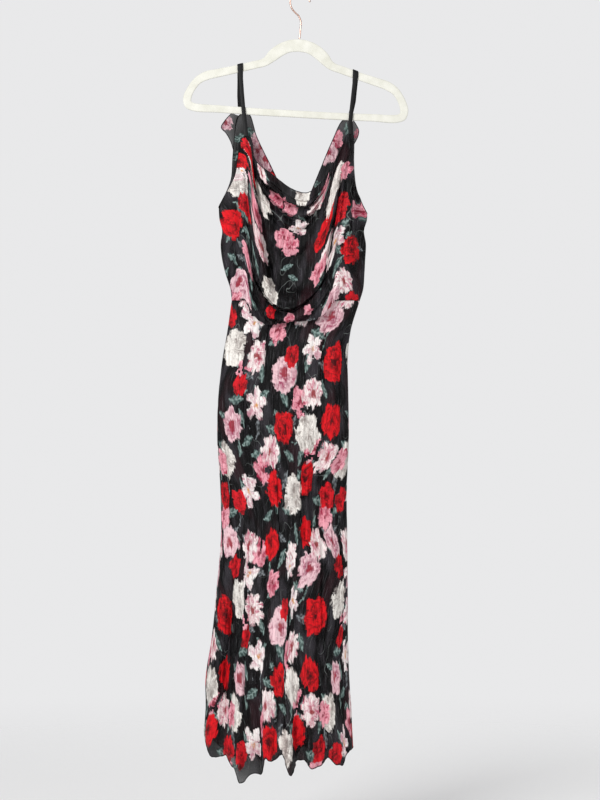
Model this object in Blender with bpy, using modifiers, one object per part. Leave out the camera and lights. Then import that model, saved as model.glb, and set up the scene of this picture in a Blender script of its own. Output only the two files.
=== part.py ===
"""Maxi dress on a velvet hanger, as faceted solids for Blender 4.5.

The origin is the inner top of the hook's bend, where a rod or nail carries the hanger. +Z is up, +X is to
the right of someone who looks at the front, and the front faces -Y. Tables hold millimetres, and each
function turns them to metres with MM.

The dress is a bias-cut slip: a cowl front bodice that pools over the waist seam, a back bodice with a deep
V, a front and a back skirt, and two ribbon straps that go over the arms of the hanger.
"""

import math

import bmesh
import bpy
import numpy as np
from mathutils import Matrix, Vector

MM = 0.001
COLLECTION = "maxi_dress_on_hanger"

# Driving sizes, in millimetres.
CLOTH_WALL = 1.5
SEAM_GAP = 0.3
SIDE_ALLOWANCE = 0.25  # from the plane of a side seam to the middle of a panel's edge
SEAM_ROLL = 0.985  # the column beside a side seam, where the cloth turns square to the seam's plane
WAIST_DROP = 614.0  # the origin to the waist seam
WAIST_LEFT = -136.0
WAIST_RIGHT = 119.0
FRONT_DEPTH = 30.0  # from the side seams to the front skirt, at the waist
BACK_DEPTH = 28.0
EDGE_BLEND = 0.12  # the share of the way down over which a bodice leaves its free edge's own line
SIDE_PULL = 4  # how fast the outline's pull dies away from a side seam
FLATNESS = 0.7  # 1 is an ellipse, and less is a flatter hollow with rounder sides
HANGER_TILT = math.radians(3.3)  # the dress pulls the right arm down
HANGER_TOP = (-1.0, -92.0)  # the top of the hump, across and up
HANGER_THICKNESS = 6.0
HANGER_EDGE = 1.2
MERGE = 0.01  # points of the hanger's outline nearer than this are one
WIRE_RADIUS = 1.7
HOOK_INNER_RADIUS = 18.0
RIBBON_WALL = 1.5
RIBBON_REACH = 10.0  # how far beside a ribbon's end the bodice's edge is looked at
ARM_GAP = 0.7  # from the top of the hanger's arm to the underside of a ribbon
END_GAP = 0.4  # from a ribbon's end to the bodice's edge, as the end leans a little

# Half of the hanger, in its own untilted plane. across, up. The other half is its mirror image.
HANGER_OUTER = (
    (0, 0), (14, -1.5), (29, -6), (44, -14), (57, -25), (70, -42), (95, -50.5), (121, -58.5),
    (158, -68), (187, -76.5), (203, -88), (216, -106), (225, -132), (220, -148), (206.5, -154.5),
    (150, -155.5), (75, -156.5),
)
HANGER_INNER = (
    (0, -25), (14, -26.5), (27, -32), (49, -48), (63, -57), (84, -63.5), (119, -74),
    (150, -83), (179, -92), (193, -100), (203, -114), (208.5, -130), (205, -138.5),
    (150, -141), (75, -142.5),
)

HANGER_ARM = slice(5, 11)  # the outer line's points along an arm
SLOPE_REACH = 4.0  # how far to either side an arm's slope is measured

# The skirt's level sections. drop is below the waist seam. left and right are the side seams.
# front and back are how far the cloth stands off the side seams' plane.
SKIRT_SECTIONS = (
    # drop, left, right, front, back
    (0, -136, 119, 30, 28),
    (59, -144.5, 101, 33, 31),
    (119, -154.5, 95, 36, 34),
    (178, -161.5, 96, 38, 36),
    (277, -164.5, 97, 40, 38),
    (376, -158.5, 93, 40, 38),
    (475, -157.5, 94, 41, 39),
    (574, -166, 95, 44, 42),
    (673, -176, 95.5, 48, 46),
    (752, -188, 98, 52, 50),
    (812, -188, 102, 56, 54),
    (861, -191, 104, 59, 57),
    (952, -186, 110, 62, 60),
)

# How far each place on the hem hangs below the waist seam. across runs from -1 to 1, seam to seam.
FRONT_HEM = (
    # across, drop
    (-1.0, 853), (-0.95, 893), (-0.76, 905), (-0.60, 945), (-0.50, 950), (-0.27, 932),
    (-0.13, 911), (0.04, 902), (0.14, 935), (0.27, 910), (0.40, 924), (0.57, 922), (0.71, 905),
    (0.87, 920), (0.95, 893), (1.0, 889),
)
BACK_HEM = (
    # across, drop
    (-1.0, 853), (-0.84, 890), (-0.62, 915), (-0.44, 896), (-0.24, 925), (-0.06, 900),
    (0.16, 921), (0.34, 898), (0.52, 918), (0.70, 899), (0.86, 912), (1.0, 889),
)

# Folds that run down the skirt. across is the crest, reach is its half width, and start and full are the
# drops where it begins and where it stands at its full height. A hollow has a height below nought.
FRONT_FOLDS = (
    # across, reach, start, full, height
    (-0.87, 0.08, 480, 760, 9),
    (-0.72, 0.07, 380, 700, -10),
    (-0.54, 0.12, 560, 930, 13),
    (-0.46, 0.10, 8, 120, -6),
    (-0.33, 0.09, 420, 900, -9),
    (-0.16, 0.09, 700, 930, 8),
    (0.02, 0.09, 640, 920, -10),
    (0.15, 0.07, 690, 930, 12),
    (0.29, 0.08, 560, 900, -10),
    (0.47, 0.12, 620, 920, 8),
    (0.62, 0.08, 60, 420, -9),
    (0.76, 0.09, 40, 380, 7),
    (0.88, 0.06, 100, 500, -7),
)
BACK_FOLDS = (
    # across, reach, start, full, height
    (-0.80, 0.09, 260, 720, 10),
    (-0.62, 0.09, 180, 640, -10),
    (-0.44, 0.10, 420, 880, 9),
    (-0.25, 0.10, 90, 600, -9),
    (-0.06, 0.11, 520, 900, 11),
    (0.15, 0.10, 300, 820, -11),
    (0.34, 0.10, 640, 920, 10),
    (0.52, 0.09, 150, 560, -9),
    (0.69, 0.09, 380, 800, 10),
    (0.84, 0.07, 120, 600, -8),
)

# The free upper edge of each bodice, seam to seam. round runs from -1 to 1 and says which column of
# the cloth it is. out is how far the edge stands off the side seams' plane.
FRONT_EDGE = (
    # round, across, drop, out
    (-1.0, -162, 428, 0), (-0.985, -161.8, 427, 2.2), (-0.90, -147, 399, 8), (-0.82, -131, 368, 11),
    (-0.72, -124, 330, 12), (-0.63, -117, 293, 12), (-0.54, -97, 292, 13), (-0.47, -92, 326, 18),
    (-0.38, -80, 345, 24), (-0.26, -58, 362, 28), (-0.12, -24, 389, 31), (0.0, 0, 400, 32),
    (0.10, 18, 400, 32), (0.22, 44, 378, 30), (0.34, 66, 344, 26), (0.45, 84, 308, 19),
    (0.53, 92, 286, 13), (0.62, 106, 285, 12), (0.72, 107, 340, 12), (0.84, 110, 386, 11),
    (0.92, 121, 414, 7), (0.985, 131.8, 439, 2.2), (1.0, 132, 440, 0),
)
BACK_EDGE = (
    # round, across, drop, out
    (-1.0, -162, 428, 0), (-0.985, -161.8, 427, 2.2), (-0.88, -138, 372, 9), (-0.79, -134, 322, 12),
    (-0.72, -131, 286, 13), (-0.66, -128, 256, 13), (-0.60, -122, 243, 13), (-0.50, -101, 241, 13),
    (-0.40, -87, 284, 17), (-0.27, -54, 352, 24), (-0.13, -22, 424, 29), (0.0, -6, 462, 30),
    (0.12, 8, 430, 29), (0.26, 34, 366, 25), (0.40, 66, 290, 17), (0.50, 84, 254, 13),
    (0.60, 103.5, 253, 13), (0.70, 105.5, 312, 14), (0.82, 111, 380, 12), (0.92, 121, 413, 7),
    (0.985, 131.8, 439, 2.2), (1.0, 132, 440, 0),
)

# The path of the front bodice from its edge to the waist seam. down runs from 0 to 1 along the cloth.
# centre and side are the share of the way down to the seam: the cowl's centre falls past it, forms a
# pouch, and turns up behind to meet it. The last six columns add to how far the waist stands out.
FRONT_FALL = (
    # down, centre, side, seam, outer, tube, flank, cowl, middle
    (0.00, 0.00, 0.00, 0, -3, -9, -6, 0, 2),
    (0.08, 0.08, 0.08, 0, 0, -1, -4, -4, -4),
    (0.22, 0.27, 0.24, 0, 6, 13, 3, -10, -13),
    (0.42, 0.54, 0.46, 0, 9, 22, 9, -14, -19),
    (0.60, 0.75, 0.66, 0, 7, 20, 12, -14, -20),
    (0.73, 0.90, 0.80, 0, 4, 16, 12, -7, -11),
    (0.79, 0.955, 0.86, 0, 2, 13, 14, 6, 4),
    (0.84, 1.03, 0.91, 0, 1, 11, 16, 15, 14),
    (0.89, 1.13, 0.95, 0, 0, 8, 15, 20, 20),
    (0.94, 1.20, 0.975, 0, 0, 5, 11, 15, 15),
    (0.975, 1.10, 0.985, 0, 0, 4, 7, 8, 7.5),
    (1.00, 0.985, 1.00, 0, 0, 1, 3.6, 3.4, 3),
)
# The little flutter that sticks out of the back's left edge, below its strap. It dies away over fade,
# which is a share of the way down.
FLUTTER = {"round": -0.667, "reach": 0.036, "across": -29, "drop": 8, "out": 5, "fade": 0.09}

BACK_FALL = (
    # down, centre, side, seam, outer, tube, flank, cowl, middle
    (0.00, 0.00, 0.00, 0, -3, -8, -5, 0, 1),
    (0.15, 0.15, 0.15, 0, 3, -2, -1, 3, 2),
    (0.35, 0.35, 0.35, 0, 7, 3, 6, 1, 5),
    (0.60, 0.60, 0.60, 0, 8, 5, 7, 3, 6),
    (0.82, 0.82, 0.82, 0, 4, 4, 4, 3, 4),
    (1.00, 1.00, 1.00, 0, 0, 0, 0, 0, 0),
)
POUCH_ROUND = -0.08  # the middle of the pouch, and half of its width
POUCH_REACH = 0.56
FALL_ROUND = (-1.0, -0.80, -0.60, -0.42, -0.22, 0.0, 0.22, 0.42, 0.60, 0.80, 1.0)

# The side seams above the waist, which are the outline of the bodice. drop is below the origin.
BODICE_SIDES = (
    # drop, left, right
    (428, -162, 131), (451, -160.5, 132), (475, -155, 126), (499, -158, 130), (535, -154.5, 129),
    (558, -149, 128), (594, -138, 125), (614, -136, 119),
)

# The straps, from the front of the bodice over the arm of the hanger to the back.
LEFT_STRAP = (
    # across, out, drop, width
    (-107, -12.5, 290.5, 9), (-109, -9.5, 264, 8), (-112, -6.3, 240, 8), (-115.5, -5.2, 200, 8),
    (-118, -5.0, 170, 9), (-119, -5.0, 152, 11.5),
)
LEFT_STRAP_BACK = (
    # across, out, drop, width
    (-119.5, 5.0, 152, 11.5), (-120.5, 5.2, 172, 9), (-121, 7.0, 204, 9), (-120, 10.0, 226, 9),
    (-117, 12.8, 239.5, 9),
)
RIGHT_STRAP = (
    # across, out, drop, width
    (101, -12.5, 283.5, 9), (99.5, -9.5, 264, 8), (101.5, -6.3, 244, 8), (105.5, -5.2, 208, 8),
    (109, -5.0, 180, 9), (110.5, -5.0, 166, 11.5),
)
RIGHT_STRAP_BACK = (
    # across, out, drop, width
    (111, 5.0, 166, 11.5), (110, 5.2, 186, 9), (107, 7.0, 216, 9), (102, 10.0, 238, 9),
    (98, 12.8, 251.5, 9),
)
STRAP_ARC_POINTS = 5
LEAN_REACH = 26.0  # how far below the arm a ribbon has hung straight again
LEAN_FADE = 20.0

# The wire of the hook below its bend, across and drop, from the hump upwards.
HOOK_STEM = ((-1, 91.4), (1, 70), (1.5, 56), (-2.5, 46), (-10, 38.5), (-16, 31))
HOOK_CENTRE = (0.0, 18.0)
HOOK_ARC = (202, -18, 17)  # from and to, in degrees round the bend's centre, and the number of points

SKIRT_COLUMNS = 36
SKIRT_ROWS = (
    0, 0.02, 0.07, 0.13, 0.2, 0.29, 0.38, 0.47, 0.56, 0.65, 0.73, 0.8, 0.86, 0.91, 0.955, 1.0,
)
BODICE_COLUMNS = 30
FRONT_BODICE_ROWS = (
    0, 0.08, 0.15, 0.22, 0.32, 0.42, 0.51, 0.60, 0.67, 0.73, 0.79, 0.84, 0.89, 0.94, 0.975, 1.0,
)
BACK_BODICE_ROWS = (0, 0.07, 0.15, 0.25, 0.37, 0.5, 0.62, 0.74, 0.87, 1.0)


def column(table, index):
    """One column of a table, as an array."""
    return np.array([row[index] for row in table], float)


def through(knots, values, at):
    """A smooth curve through the values: a cubic between each two knots, whose slope at a knot is the mean
    slope there."""
    slopes = np.gradient(values, knots)
    at = np.clip(at, knots[0], knots[-1])
    left = np.clip(np.searchsorted(knots, at, side="right") - 1, 0, len(knots) - 2)
    width = knots[left + 1] - knots[left]
    part = (at - knots[left]) / width
    rest = 1 - part
    return (
        (1 + 2 * part) * rest**2 * values[left]
        + part * rest**2 * width * slopes[left]
        + part**2 * (3 - 2 * part) * values[left + 1]
        - part**2 * rest * width * slopes[left + 1]
    )


def smooth_step(at):
    """0 up to 0, 1 from 1, and a smooth S between."""
    at = np.clip(at, 0, 1)
    return at * at * (3 - 2 * at)


def columns_around(count):
    """The places of a panel's columns, with a narrow one beside each side seam."""
    inner = np.linspace(-1, 1, count + 1)[1:-1]
    return np.concatenate([[-1, -SEAM_ROLL], inner, [SEAM_ROLL, 1]])


def hollow(around):
    """How far the cloth stands off the side seams' plane, as a share of its depth, at around -1 to 1."""
    return np.cos(around * math.pi / 2).clip(0) ** FLATNESS


def skirt_points(around, down, facing, hem, folds):
    """The middle surface of one skirt panel, in millimetres, on a grid of around (-1 to 1) by down (0 to 1).
    facing is -1 for the front and 1 for the back."""
    around, down = np.meshgrid(around, down)
    across = np.sin(around * math.pi / 2)
    drop = SEAM_GAP + down * (through(column(hem, 0), column(hem, 1), across) - SEAM_GAP)
    knots = column(SKIRT_SECTIONS, 0)
    left = through(knots, column(SKIRT_SECTIONS, 1), drop)
    right = through(knots, column(SKIRT_SECTIONS, 2), drop)
    depth = through(knots, column(SKIRT_SECTIONS, 3 if facing < 0 else 4), drop)
    out = depth * hollow(around)
    for crest, reach, start, full, height in folds:
        shape = np.exp(-(((across - crest) / reach) ** 2))
        out = out + height * shape * smooth_step((drop - start) / (full - start)) * hollow(around)
    x = (left + right) / 2 + (right - left) / 2 * across
    return np.stack([x, facing * (SIDE_ALLOWANCE + out), -WAIST_DROP - drop], axis=-1)


def bodice_points(around, down, facing, edge, fall, depth):
    """The middle surface of one bodice panel, in millimetres: each column runs from the free edge to the
    waist seam, along the fall's path."""
    around, down = np.meshgrid(around, down)
    edge_across, edge_drop, edge_out = (through(column(edge, 0), column(edge, i), around) for i in (1, 2, 3))
    rows = column(fall, 0)
    centre = through(rows, column(fall, 1), down)
    side = through(rows, column(fall, 2), down)
    middle = smooth_step(1 - ((around - POUCH_ROUND) / POUCH_REACH) ** 2)
    share = side + (centre - side) * middle
    drop = edge_drop + share * (WAIST_DROP - SEAM_GAP - edge_drop)
    stand_off = stand_off_at(fall, around, down)
    out = depth * hollow(around) + stand_off
    out = out + (edge_out - out) * (1 - smooth_step(down / EDGE_BLEND))
    waist = (WAIST_LEFT + WAIST_RIGHT) / 2 + (WAIST_RIGHT - WAIST_LEFT) / 2 * np.sin(around * math.pi / 2)
    x = edge_across + (waist - edge_across) * np.clip(share, 0, 1)
    x = x + side_bulge(around, drop)
    if facing > 0:
        near = np.exp(-(((around - FLUTTER["round"]) / FLUTTER["reach"]) ** 2))
        near = near * (1 - smooth_step(down / FLUTTER["fade"]))
        x = x + FLUTTER["across"] * near
        drop = drop + FLUTTER["drop"] * near
        out = out + FLUTTER["out"] * near
    return np.stack([x, facing * (SIDE_ALLOWANCE + out.clip(0)), -drop], axis=-1)


def stand_off_at(fall, around, down):
    """The fall's last six columns, mirrored about the middle and smoothed both ways."""
    rows = column(fall, 0)
    knots = np.array(FALL_ROUND)
    half = [through(rows, column(fall, index), down) for index in (3, 4, 5, 6, 7, 8)]
    whole = np.stack(half + half[-2::-1])
    total = np.zeros_like(down)
    for index in range(len(knots)):
        one = np.zeros(len(knots))
        one[index] = 1.0
        total = total + through(knots, one, around) * whole[index]
    return total


def side_bulge(around, drop):
    """What brings the two side seams onto the outline. It fades out away from them."""
    knots = column(BODICE_SIDES, 0)
    along = (np.clip(drop, knots[0], knots[-1]) - knots[0]) / (knots[-1] - knots[0])
    left_line = BODICE_SIDES[0][1] + along * (BODICE_SIDES[-1][1] - BODICE_SIDES[0][1])
    right_line = BODICE_SIDES[0][2] + along * (BODICE_SIDES[-1][2] - BODICE_SIDES[0][2])
    left = through(knots, column(BODICE_SIDES, 1), drop) - left_line
    right = through(knots, column(BODICE_SIDES, 2), drop) - right_line
    return np.where(around < 0, left, right) * abs(around) ** SIDE_PULL


def on_hanger(across, up):
    """A point of the hanger's own plane, tilted and put in place."""
    cos, sin = math.cos(HANGER_TILT), math.sin(HANGER_TILT)
    return (HANGER_TOP[0] + across * cos + up * sin, HANGER_TOP[1] - across * sin + up * cos)


def arm_top(across):
    """The height of the top edge of the hanger's arm at a place across."""
    sign = -1 if across < 0 else 1
    edge = [on_hanger(sign * x, z) for x, z in HANGER_OUTER[HANGER_ARM]]
    edge.sort()
    return float(np.interp(across, [x for x, _ in edge], [z for _, z in edge]))


def arm_slope(across):
    """The angle at which the hanger's arm rises to the right, at a place across."""
    rise = arm_top(across + SLOPE_REACH) - arm_top(across - SLOPE_REACH)
    return math.atan2(rise, 2 * SLOPE_REACH)


def material(name, colour, roughness, metallic=0.0):
    """A Principled material with one colour."""
    made = bpy.data.materials.new(name)
    made.use_nodes = True
    shader = made.node_tree.nodes["Principled BSDF"]
    shader.inputs["Base Color"].default_value = (*colour, 1.0)
    shader.inputs["Roughness"].default_value = roughness
    shader.inputs["Metallic"].default_value = metallic
    made.diffuse_color = (*colour, 1.0)
    return made


def add_object(name, data, finish, collection):
    """A named object for the data, with its material."""
    made = bpy.data.objects.new(name, data)
    data.materials.append(finish)
    collection.objects.link(made)
    return made


def add_sheet(name, points, wall, finish, collection, flip):
    """A cloth wall: the grid of points as an open surface, with Solidify to either side of it."""
    rows, columns = points.shape[:2]
    shell = bmesh.new()
    corners = [shell.verts.new(point) for point in points.reshape(-1, 3) * MM]
    for row in range(rows - 1):
        for left in range(columns - 1):
            first = row * columns + left
            ring = (first, first + columns, first + columns + 1, first + 1)
            shell.faces.new([corners[i] for i in (ring[::-1] if flip else ring)])
    mesh = bpy.data.meshes.new(name)
    shell.to_mesh(mesh)
    shell.free()
    mesh.shade_smooth()
    sheet = add_object(name, mesh, finish, collection)
    solid = sheet.modifiers.new("wall", "SOLIDIFY")
    solid.thickness = wall * MM
    solid.offset = 0.0
    return sheet


def add_skirt(name, facing, hem, folds, finish, collection):
    """One skirt panel, from the waist seam to the hem."""
    points = skirt_points(columns_around(SKIRT_COLUMNS), np.array(SKIRT_ROWS), facing, hem, folds)
    return add_sheet(name, points, CLOTH_WALL, finish, collection, flip=facing > 0)


def add_bodice(name, facing, edge, fall, depth, rows, finish, collection):
    """One bodice panel, from its free edge to the waist seam."""
    points = bodice_points(columns_around(BODICE_COLUMNS), np.array(rows), facing, edge, fall, depth)
    return add_sheet(name, points, CLOTH_WALL, finish, collection, flip=facing > 0)


def edge_crest(edge, across, width):
    """The least drop of a bodice's free edge under a ribbon of this width."""
    around = columns_around(BODICE_COLUMNS)
    places = through(column(edge, 0), column(edge, 1), around)
    drops = through(column(edge, 0), column(edge, 2), around)
    return float(drops[abs(places - across) < width / 2 + RIBBON_REACH].min())


def strap_path(front, back):
    """The ribbon's middle line, as rows of across, out, drop and width: up the front, over the arm of the
    hanger in a half circle, and down the back. Each end stops one seam gap above the bodice."""
    across, out, _, width = front[0]
    front = [(across, out, edge_crest(FRONT_EDGE, across, width) - END_GAP, width), *front[1:]]
    across, out, _, width = back[-1]
    back = [*back[:-1], (across, out, edge_crest(BACK_EDGE, across, width) - END_GAP, width)]
    top_across = (front[-1][0] + back[0][0]) / 2
    radius = (back[0][1] - front[-1][1]) / 2
    crown = -arm_top(top_across) - (ARM_GAP + RIBBON_WALL / 2)
    width = front[-1][3]
    angles = np.linspace(math.pi, 0, STRAP_ARC_POINTS + 2)
    arc = [(top_across, radius * math.cos(a), crown + radius * (1 - math.sin(a)), width) for a in angles]
    return [*front, *arc, *back]


def add_strap(name, front, back, finish, collection):
    """A flat ribbon along its path. It lies along the slope of the arm where it crosses it."""
    path = strap_path(front, back)
    crown = min(row[2] for row in path)
    slope = arm_slope((front[-1][0] + back[0][0]) / 2)
    rows = []
    for across, out, drop, width in path:
        lean = slope * float(smooth_step((crown + LEAN_REACH - drop) / LEAN_FADE))
        half = width / 2
        left = (across - half * math.cos(lean), out, -drop - half * math.sin(lean))
        right = (across + half * math.cos(lean), out, -drop + half * math.sin(lean))
        rows.append((left, right))
    return add_sheet(name, np.array(rows), RIBBON_WALL, finish, collection, flip=False)


def add_hanger_body(finish, collection):
    """The flat hanger: its outline and its window as one 2D curve, extruded, with worn edges."""
    curve = bpy.data.curves.new("hanger_body", "CURVE")
    curve.dimensions = "2D"
    curve.fill_mode = "BOTH"
    curve.extrude = (HANGER_THICKNESS / 2 - HANGER_EDGE) * MM
    curve.bevel_depth = HANGER_EDGE * MM
    curve.bevel_resolution = 0
    curve.offset = -HANGER_EDGE * MM
    for half in (HANGER_OUTER, HANGER_INNER):
        ring = [*half, *[(-x, z) for x, z in half[:0:-1]]]
        spline = curve.splines.new("POLY")
        spline.points.add(len(ring) - 1)
        for point, (x, z) in zip(spline.points, ring):
            point.co = (x * MM, z * MM, 0, 1)
        spline.use_cyclic_u = True
    flat = bpy.data.objects.new("hanger_outline", curve)
    collection.objects.link(flat)
    bpy.context.view_layer.update()
    mesh = bpy.data.meshes.new_from_object(flat.evaluated_get(bpy.context.evaluated_depsgraph_get()))
    bpy.data.objects.remove(flat)
    shape = bmesh.new()
    shape.from_mesh(mesh)
    bmesh.ops.remove_doubles(shape, verts=shape.verts, dist=MERGE * MM)
    shape.to_mesh(mesh)
    shape.free()
    body = add_object("hanger_body", mesh, finish, collection)
    stand = Matrix.Rotation(math.pi / 2, 4, "X")
    place = Matrix.Translation(Vector((HANGER_TOP[0] * MM, 0, HANGER_TOP[1] * MM)))
    body.matrix_world = place @ Matrix.Rotation(HANGER_TILT, 4, "Y") @ stand
    return body


def add_hook(finish, collection):
    """The wire hook: a stem out of the hump, a bend to the left and a round bend over the rod."""
    radius = HOOK_INNER_RADIUS + WIRE_RADIUS
    start, end, count = HOOK_ARC
    angles = np.radians(np.linspace(start, end, count))
    arc = [(HOOK_CENTRE[0] + radius * math.cos(a), HOOK_CENTRE[1] - radius * math.sin(a)) for a in angles]
    curve = bpy.data.curves.new("hanger_hook", "CURVE")
    curve.dimensions = "3D"
    curve.bevel_depth = WIRE_RADIUS * MM
    curve.bevel_resolution = 2
    curve.use_fill_caps = True
    spline = curve.splines.new("POLY")
    path = [*HOOK_STEM, *arc]
    spline.points.add(len(path) - 1)
    for point, (across, drop) in zip(spline.points, path):
        point.co = (across * MM, 0, -drop * MM, 1)
    return add_object("hanger_hook", curve, finish, collection)


def main():
    for thing in list(bpy.data.objects):
        bpy.data.objects.remove(thing)
    collection = bpy.data.collections.new(COLLECTION)
    bpy.context.scene.collection.children.link(collection)

    chiffon = material("black_floral_chiffon", (0.012, 0.010, 0.012), 0.7)
    satin = material("black_satin_ribbon", (0.008, 0.008, 0.009), 0.45)
    velvet = material("ivory_velvet_flock", (0.80, 0.77, 0.70), 0.95)
    copper = material("copper_plated_wire", (0.72, 0.42, 0.30), 0.25, 1.0)

    add_hanger_body(velvet, collection)
    add_hook(copper, collection)
    add_strap("strap_left", LEFT_STRAP, LEFT_STRAP_BACK, satin, collection)
    add_strap("strap_right", RIGHT_STRAP, RIGHT_STRAP_BACK, satin, collection)
    add_bodice(
        "bodice_front", -1, FRONT_EDGE, FRONT_FALL, FRONT_DEPTH, FRONT_BODICE_ROWS, chiffon, collection
    )
    add_bodice(
        "bodice_back", 1, BACK_EDGE, BACK_FALL, BACK_DEPTH, BACK_BODICE_ROWS, chiffon, collection
    )
    add_skirt("skirt_front", -1, FRONT_HEM, FRONT_FOLDS, chiffon, collection)
    add_skirt("skirt_back", 1, BACK_HEM, BACK_FOLDS, chiffon, collection)


main()
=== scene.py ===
"""Maxi dress on a flocked hanger, laid out as a Blender 4.5 add-on and run as a script.

Everything is in the CAD frame: the origin is the inner top of the hook's bend, +Z is up, +X is to the right
of someone who looks at the front, and the front faces -Y. Tables hold millimetres, and MM turns them to
metres. Each cloth panel is worked out from two numbers: around, from -1 at its left side seam to 1 at its
right one, and down, from 0 at its upper edge to 1 at its lower edge.
"""

import math

import bpy
import numpy as np
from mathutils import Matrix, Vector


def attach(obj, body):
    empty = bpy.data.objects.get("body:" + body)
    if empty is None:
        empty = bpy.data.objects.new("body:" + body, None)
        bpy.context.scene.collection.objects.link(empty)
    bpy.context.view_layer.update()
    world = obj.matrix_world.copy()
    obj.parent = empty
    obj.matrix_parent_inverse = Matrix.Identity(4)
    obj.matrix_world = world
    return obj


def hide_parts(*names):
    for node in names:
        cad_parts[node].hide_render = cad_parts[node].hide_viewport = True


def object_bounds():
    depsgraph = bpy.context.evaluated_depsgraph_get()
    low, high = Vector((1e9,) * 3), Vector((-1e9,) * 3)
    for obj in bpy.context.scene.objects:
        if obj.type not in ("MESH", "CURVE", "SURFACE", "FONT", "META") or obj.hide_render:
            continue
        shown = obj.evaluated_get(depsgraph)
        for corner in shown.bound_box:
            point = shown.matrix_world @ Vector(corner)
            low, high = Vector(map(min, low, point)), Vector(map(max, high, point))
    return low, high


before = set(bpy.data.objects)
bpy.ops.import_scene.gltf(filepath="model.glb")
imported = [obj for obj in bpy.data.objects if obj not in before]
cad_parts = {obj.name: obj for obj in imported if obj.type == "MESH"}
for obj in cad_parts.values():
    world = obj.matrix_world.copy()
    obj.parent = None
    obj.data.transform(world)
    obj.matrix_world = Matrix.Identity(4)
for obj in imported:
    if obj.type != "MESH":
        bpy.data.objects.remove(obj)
CAD_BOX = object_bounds()

bl_info = {
    "name": "Maxi Dress on a Hanger",
    "version": (1, 0, 0),
    "blender": (4, 5, 0),
    "location": "View3D > Sidebar > Maxi Dress",
    "description": "Builds a bias-cut floral chiffon maxi dress that hangs on a flocked hanger",
    "category": "Add Mesh",
}

MM = 0.001
BODY = "root"

# ---------------------------------------------------------------------------------------------- sizes

SEAM_GAP = 0.3
SIDE_ALLOWANCE = 0.02  # the panels meet at the side seams
WAIST_DROP = 614.0
WAIST_LEFT, WAIST_RIGHT = -136.0, 119.0
FRONT_DEPTH, BACK_DEPTH = 30.0, 28.0
FLATNESS = 0.7  # below 1, the dress is flatter in front and behind than an oval
HANGER_TILT = math.radians(3.3)
HANGER_TOP = (-1.0, -92.0)
HANGER_THICKNESS = 6.0
WIRE_RADIUS = 1.7
HOOK_INNER_RADIUS = 18.0
EDGE_BLEND = 0.12  # the share of the way down over which a bodice leaves its edge's own line
SIDE_PULL = 4  # how fast the outline's pull dies away from a side seam
HEM_SHEER = 55.0  # how far above the hem the cloth starts to let light through
HEM_LIGHT = 0.04  # how much it lets through at the hem
SHEER_FLUTE, FLUTE_REACH, FLUTE_LIGHT = -0.42, 0.20, 0.80  # where it shows it most, how far round, how much
PEAK_SHEER, PEAK_LIGHT = 70.0, 0.45  # the same below the back's two peaks
PEAK_INNER, PEAK_FADE = 70.0, 50.0  # how far from the back's middle the peaks start
SHEER_SEAM, SHEER_FREE = 0.35, 0.45  # how sheer a flap is at the armhole, and how much more at its free edge
SKIRT_RISE, BODICE_RISE = 0.03, 0.05  # the share of the way down over which pleats rise from the waist seam
CREASE_DEPTH = 1.35  # all creases are deepened by this much
CREASE_FADE, BODICE_FADE = 0.3, 0.25  # the share of a crease's length over which each end fades
BODICE_OVERRUN = 0.05  # how far past its ends a bodice's crease still shows
SWAG_END, SWAG_FADE = 1.15, 0.5  # where a swag ends and over what it fades, as shares of its half width
TAKE_UP = 3.4  # how much cloth a valley hides, as a share of its depth
DROOP = 0.8  # how far a roll of the cowl hangs over, as a share of its height
SLIM = 0.96  # the cloth hangs on the bias, so its motifs are drawn out downwards
SIDE_SHARE = 0.55  # how much of the way round a side counts on the bodice's print
HIDDEN_SHARE = 0.3  # how much of the cloth that a crease hides is cut out of the bodice's print

# The skirt's level sections, below the waist seam.
SKIRT_SECTIONS = (
    # drop, left, right, front, back
    (0, -136, 119, 30, 28), (59, -144.5, 101, 33, 31), (119, -154.5, 95, 36, 34),
    (178, -161.5, 96, 38, 36), (277, -164.5, 97, 40, 38), (376, -158.5, 93, 40, 38),
    (475, -157.5, 94, 41, 39), (574, -166, 95, 44, 42), (673, -176, 95.5, 48, 46),
    (752, -188, 98, 52, 50), (812, -188, 102, 56, 54), (861, -191, 104, 59, 57), (952, -186, 110, 62, 60),
)
FRONT_HEM = (
    # across, drop
    (-1.0, 853), (-0.97, 880), (-0.93, 898), (-0.86, 903), (-0.76, 902), (-0.69, 902), (-0.665, 911),
    (-0.63, 920), (-0.60, 923), (-0.575, 936), (-0.56, 946), (-0.53, 950), (-0.49, 950), (-0.45, 944),
    (-0.41, 938), (-0.34, 934), (-0.28, 934), (-0.24, 931), (-0.215, 918), (-0.19, 903), (-0.14, 907),
    (-0.09, 909), (-0.03, 905), (0.02, 898), (0.06, 899), (0.085, 910), (0.105, 926), (0.13, 933),
    (0.17, 932), (0.195, 923), (0.215, 913), (0.28, 909), (0.36, 910), (0.39, 918), (0.42, 922),
    (0.49, 921), (0.56, 918), (0.61, 909), (0.66, 903), (0.70, 908), (0.74, 916), (0.80, 919),
    (0.86, 917), (0.885, 905), (0.95, 893), (1.0, 889),
)
BACK_HEM = (
    # across, drop
    (-1.0, 853), (-0.84, 890), (-0.62, 915), (-0.44, 896), (-0.24, 925), (-0.06, 900), (0.16, 921),
    (0.34, 898), (0.52, 918), (0.70, 899), (0.86, 912), (1.0, 889),
)

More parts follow.
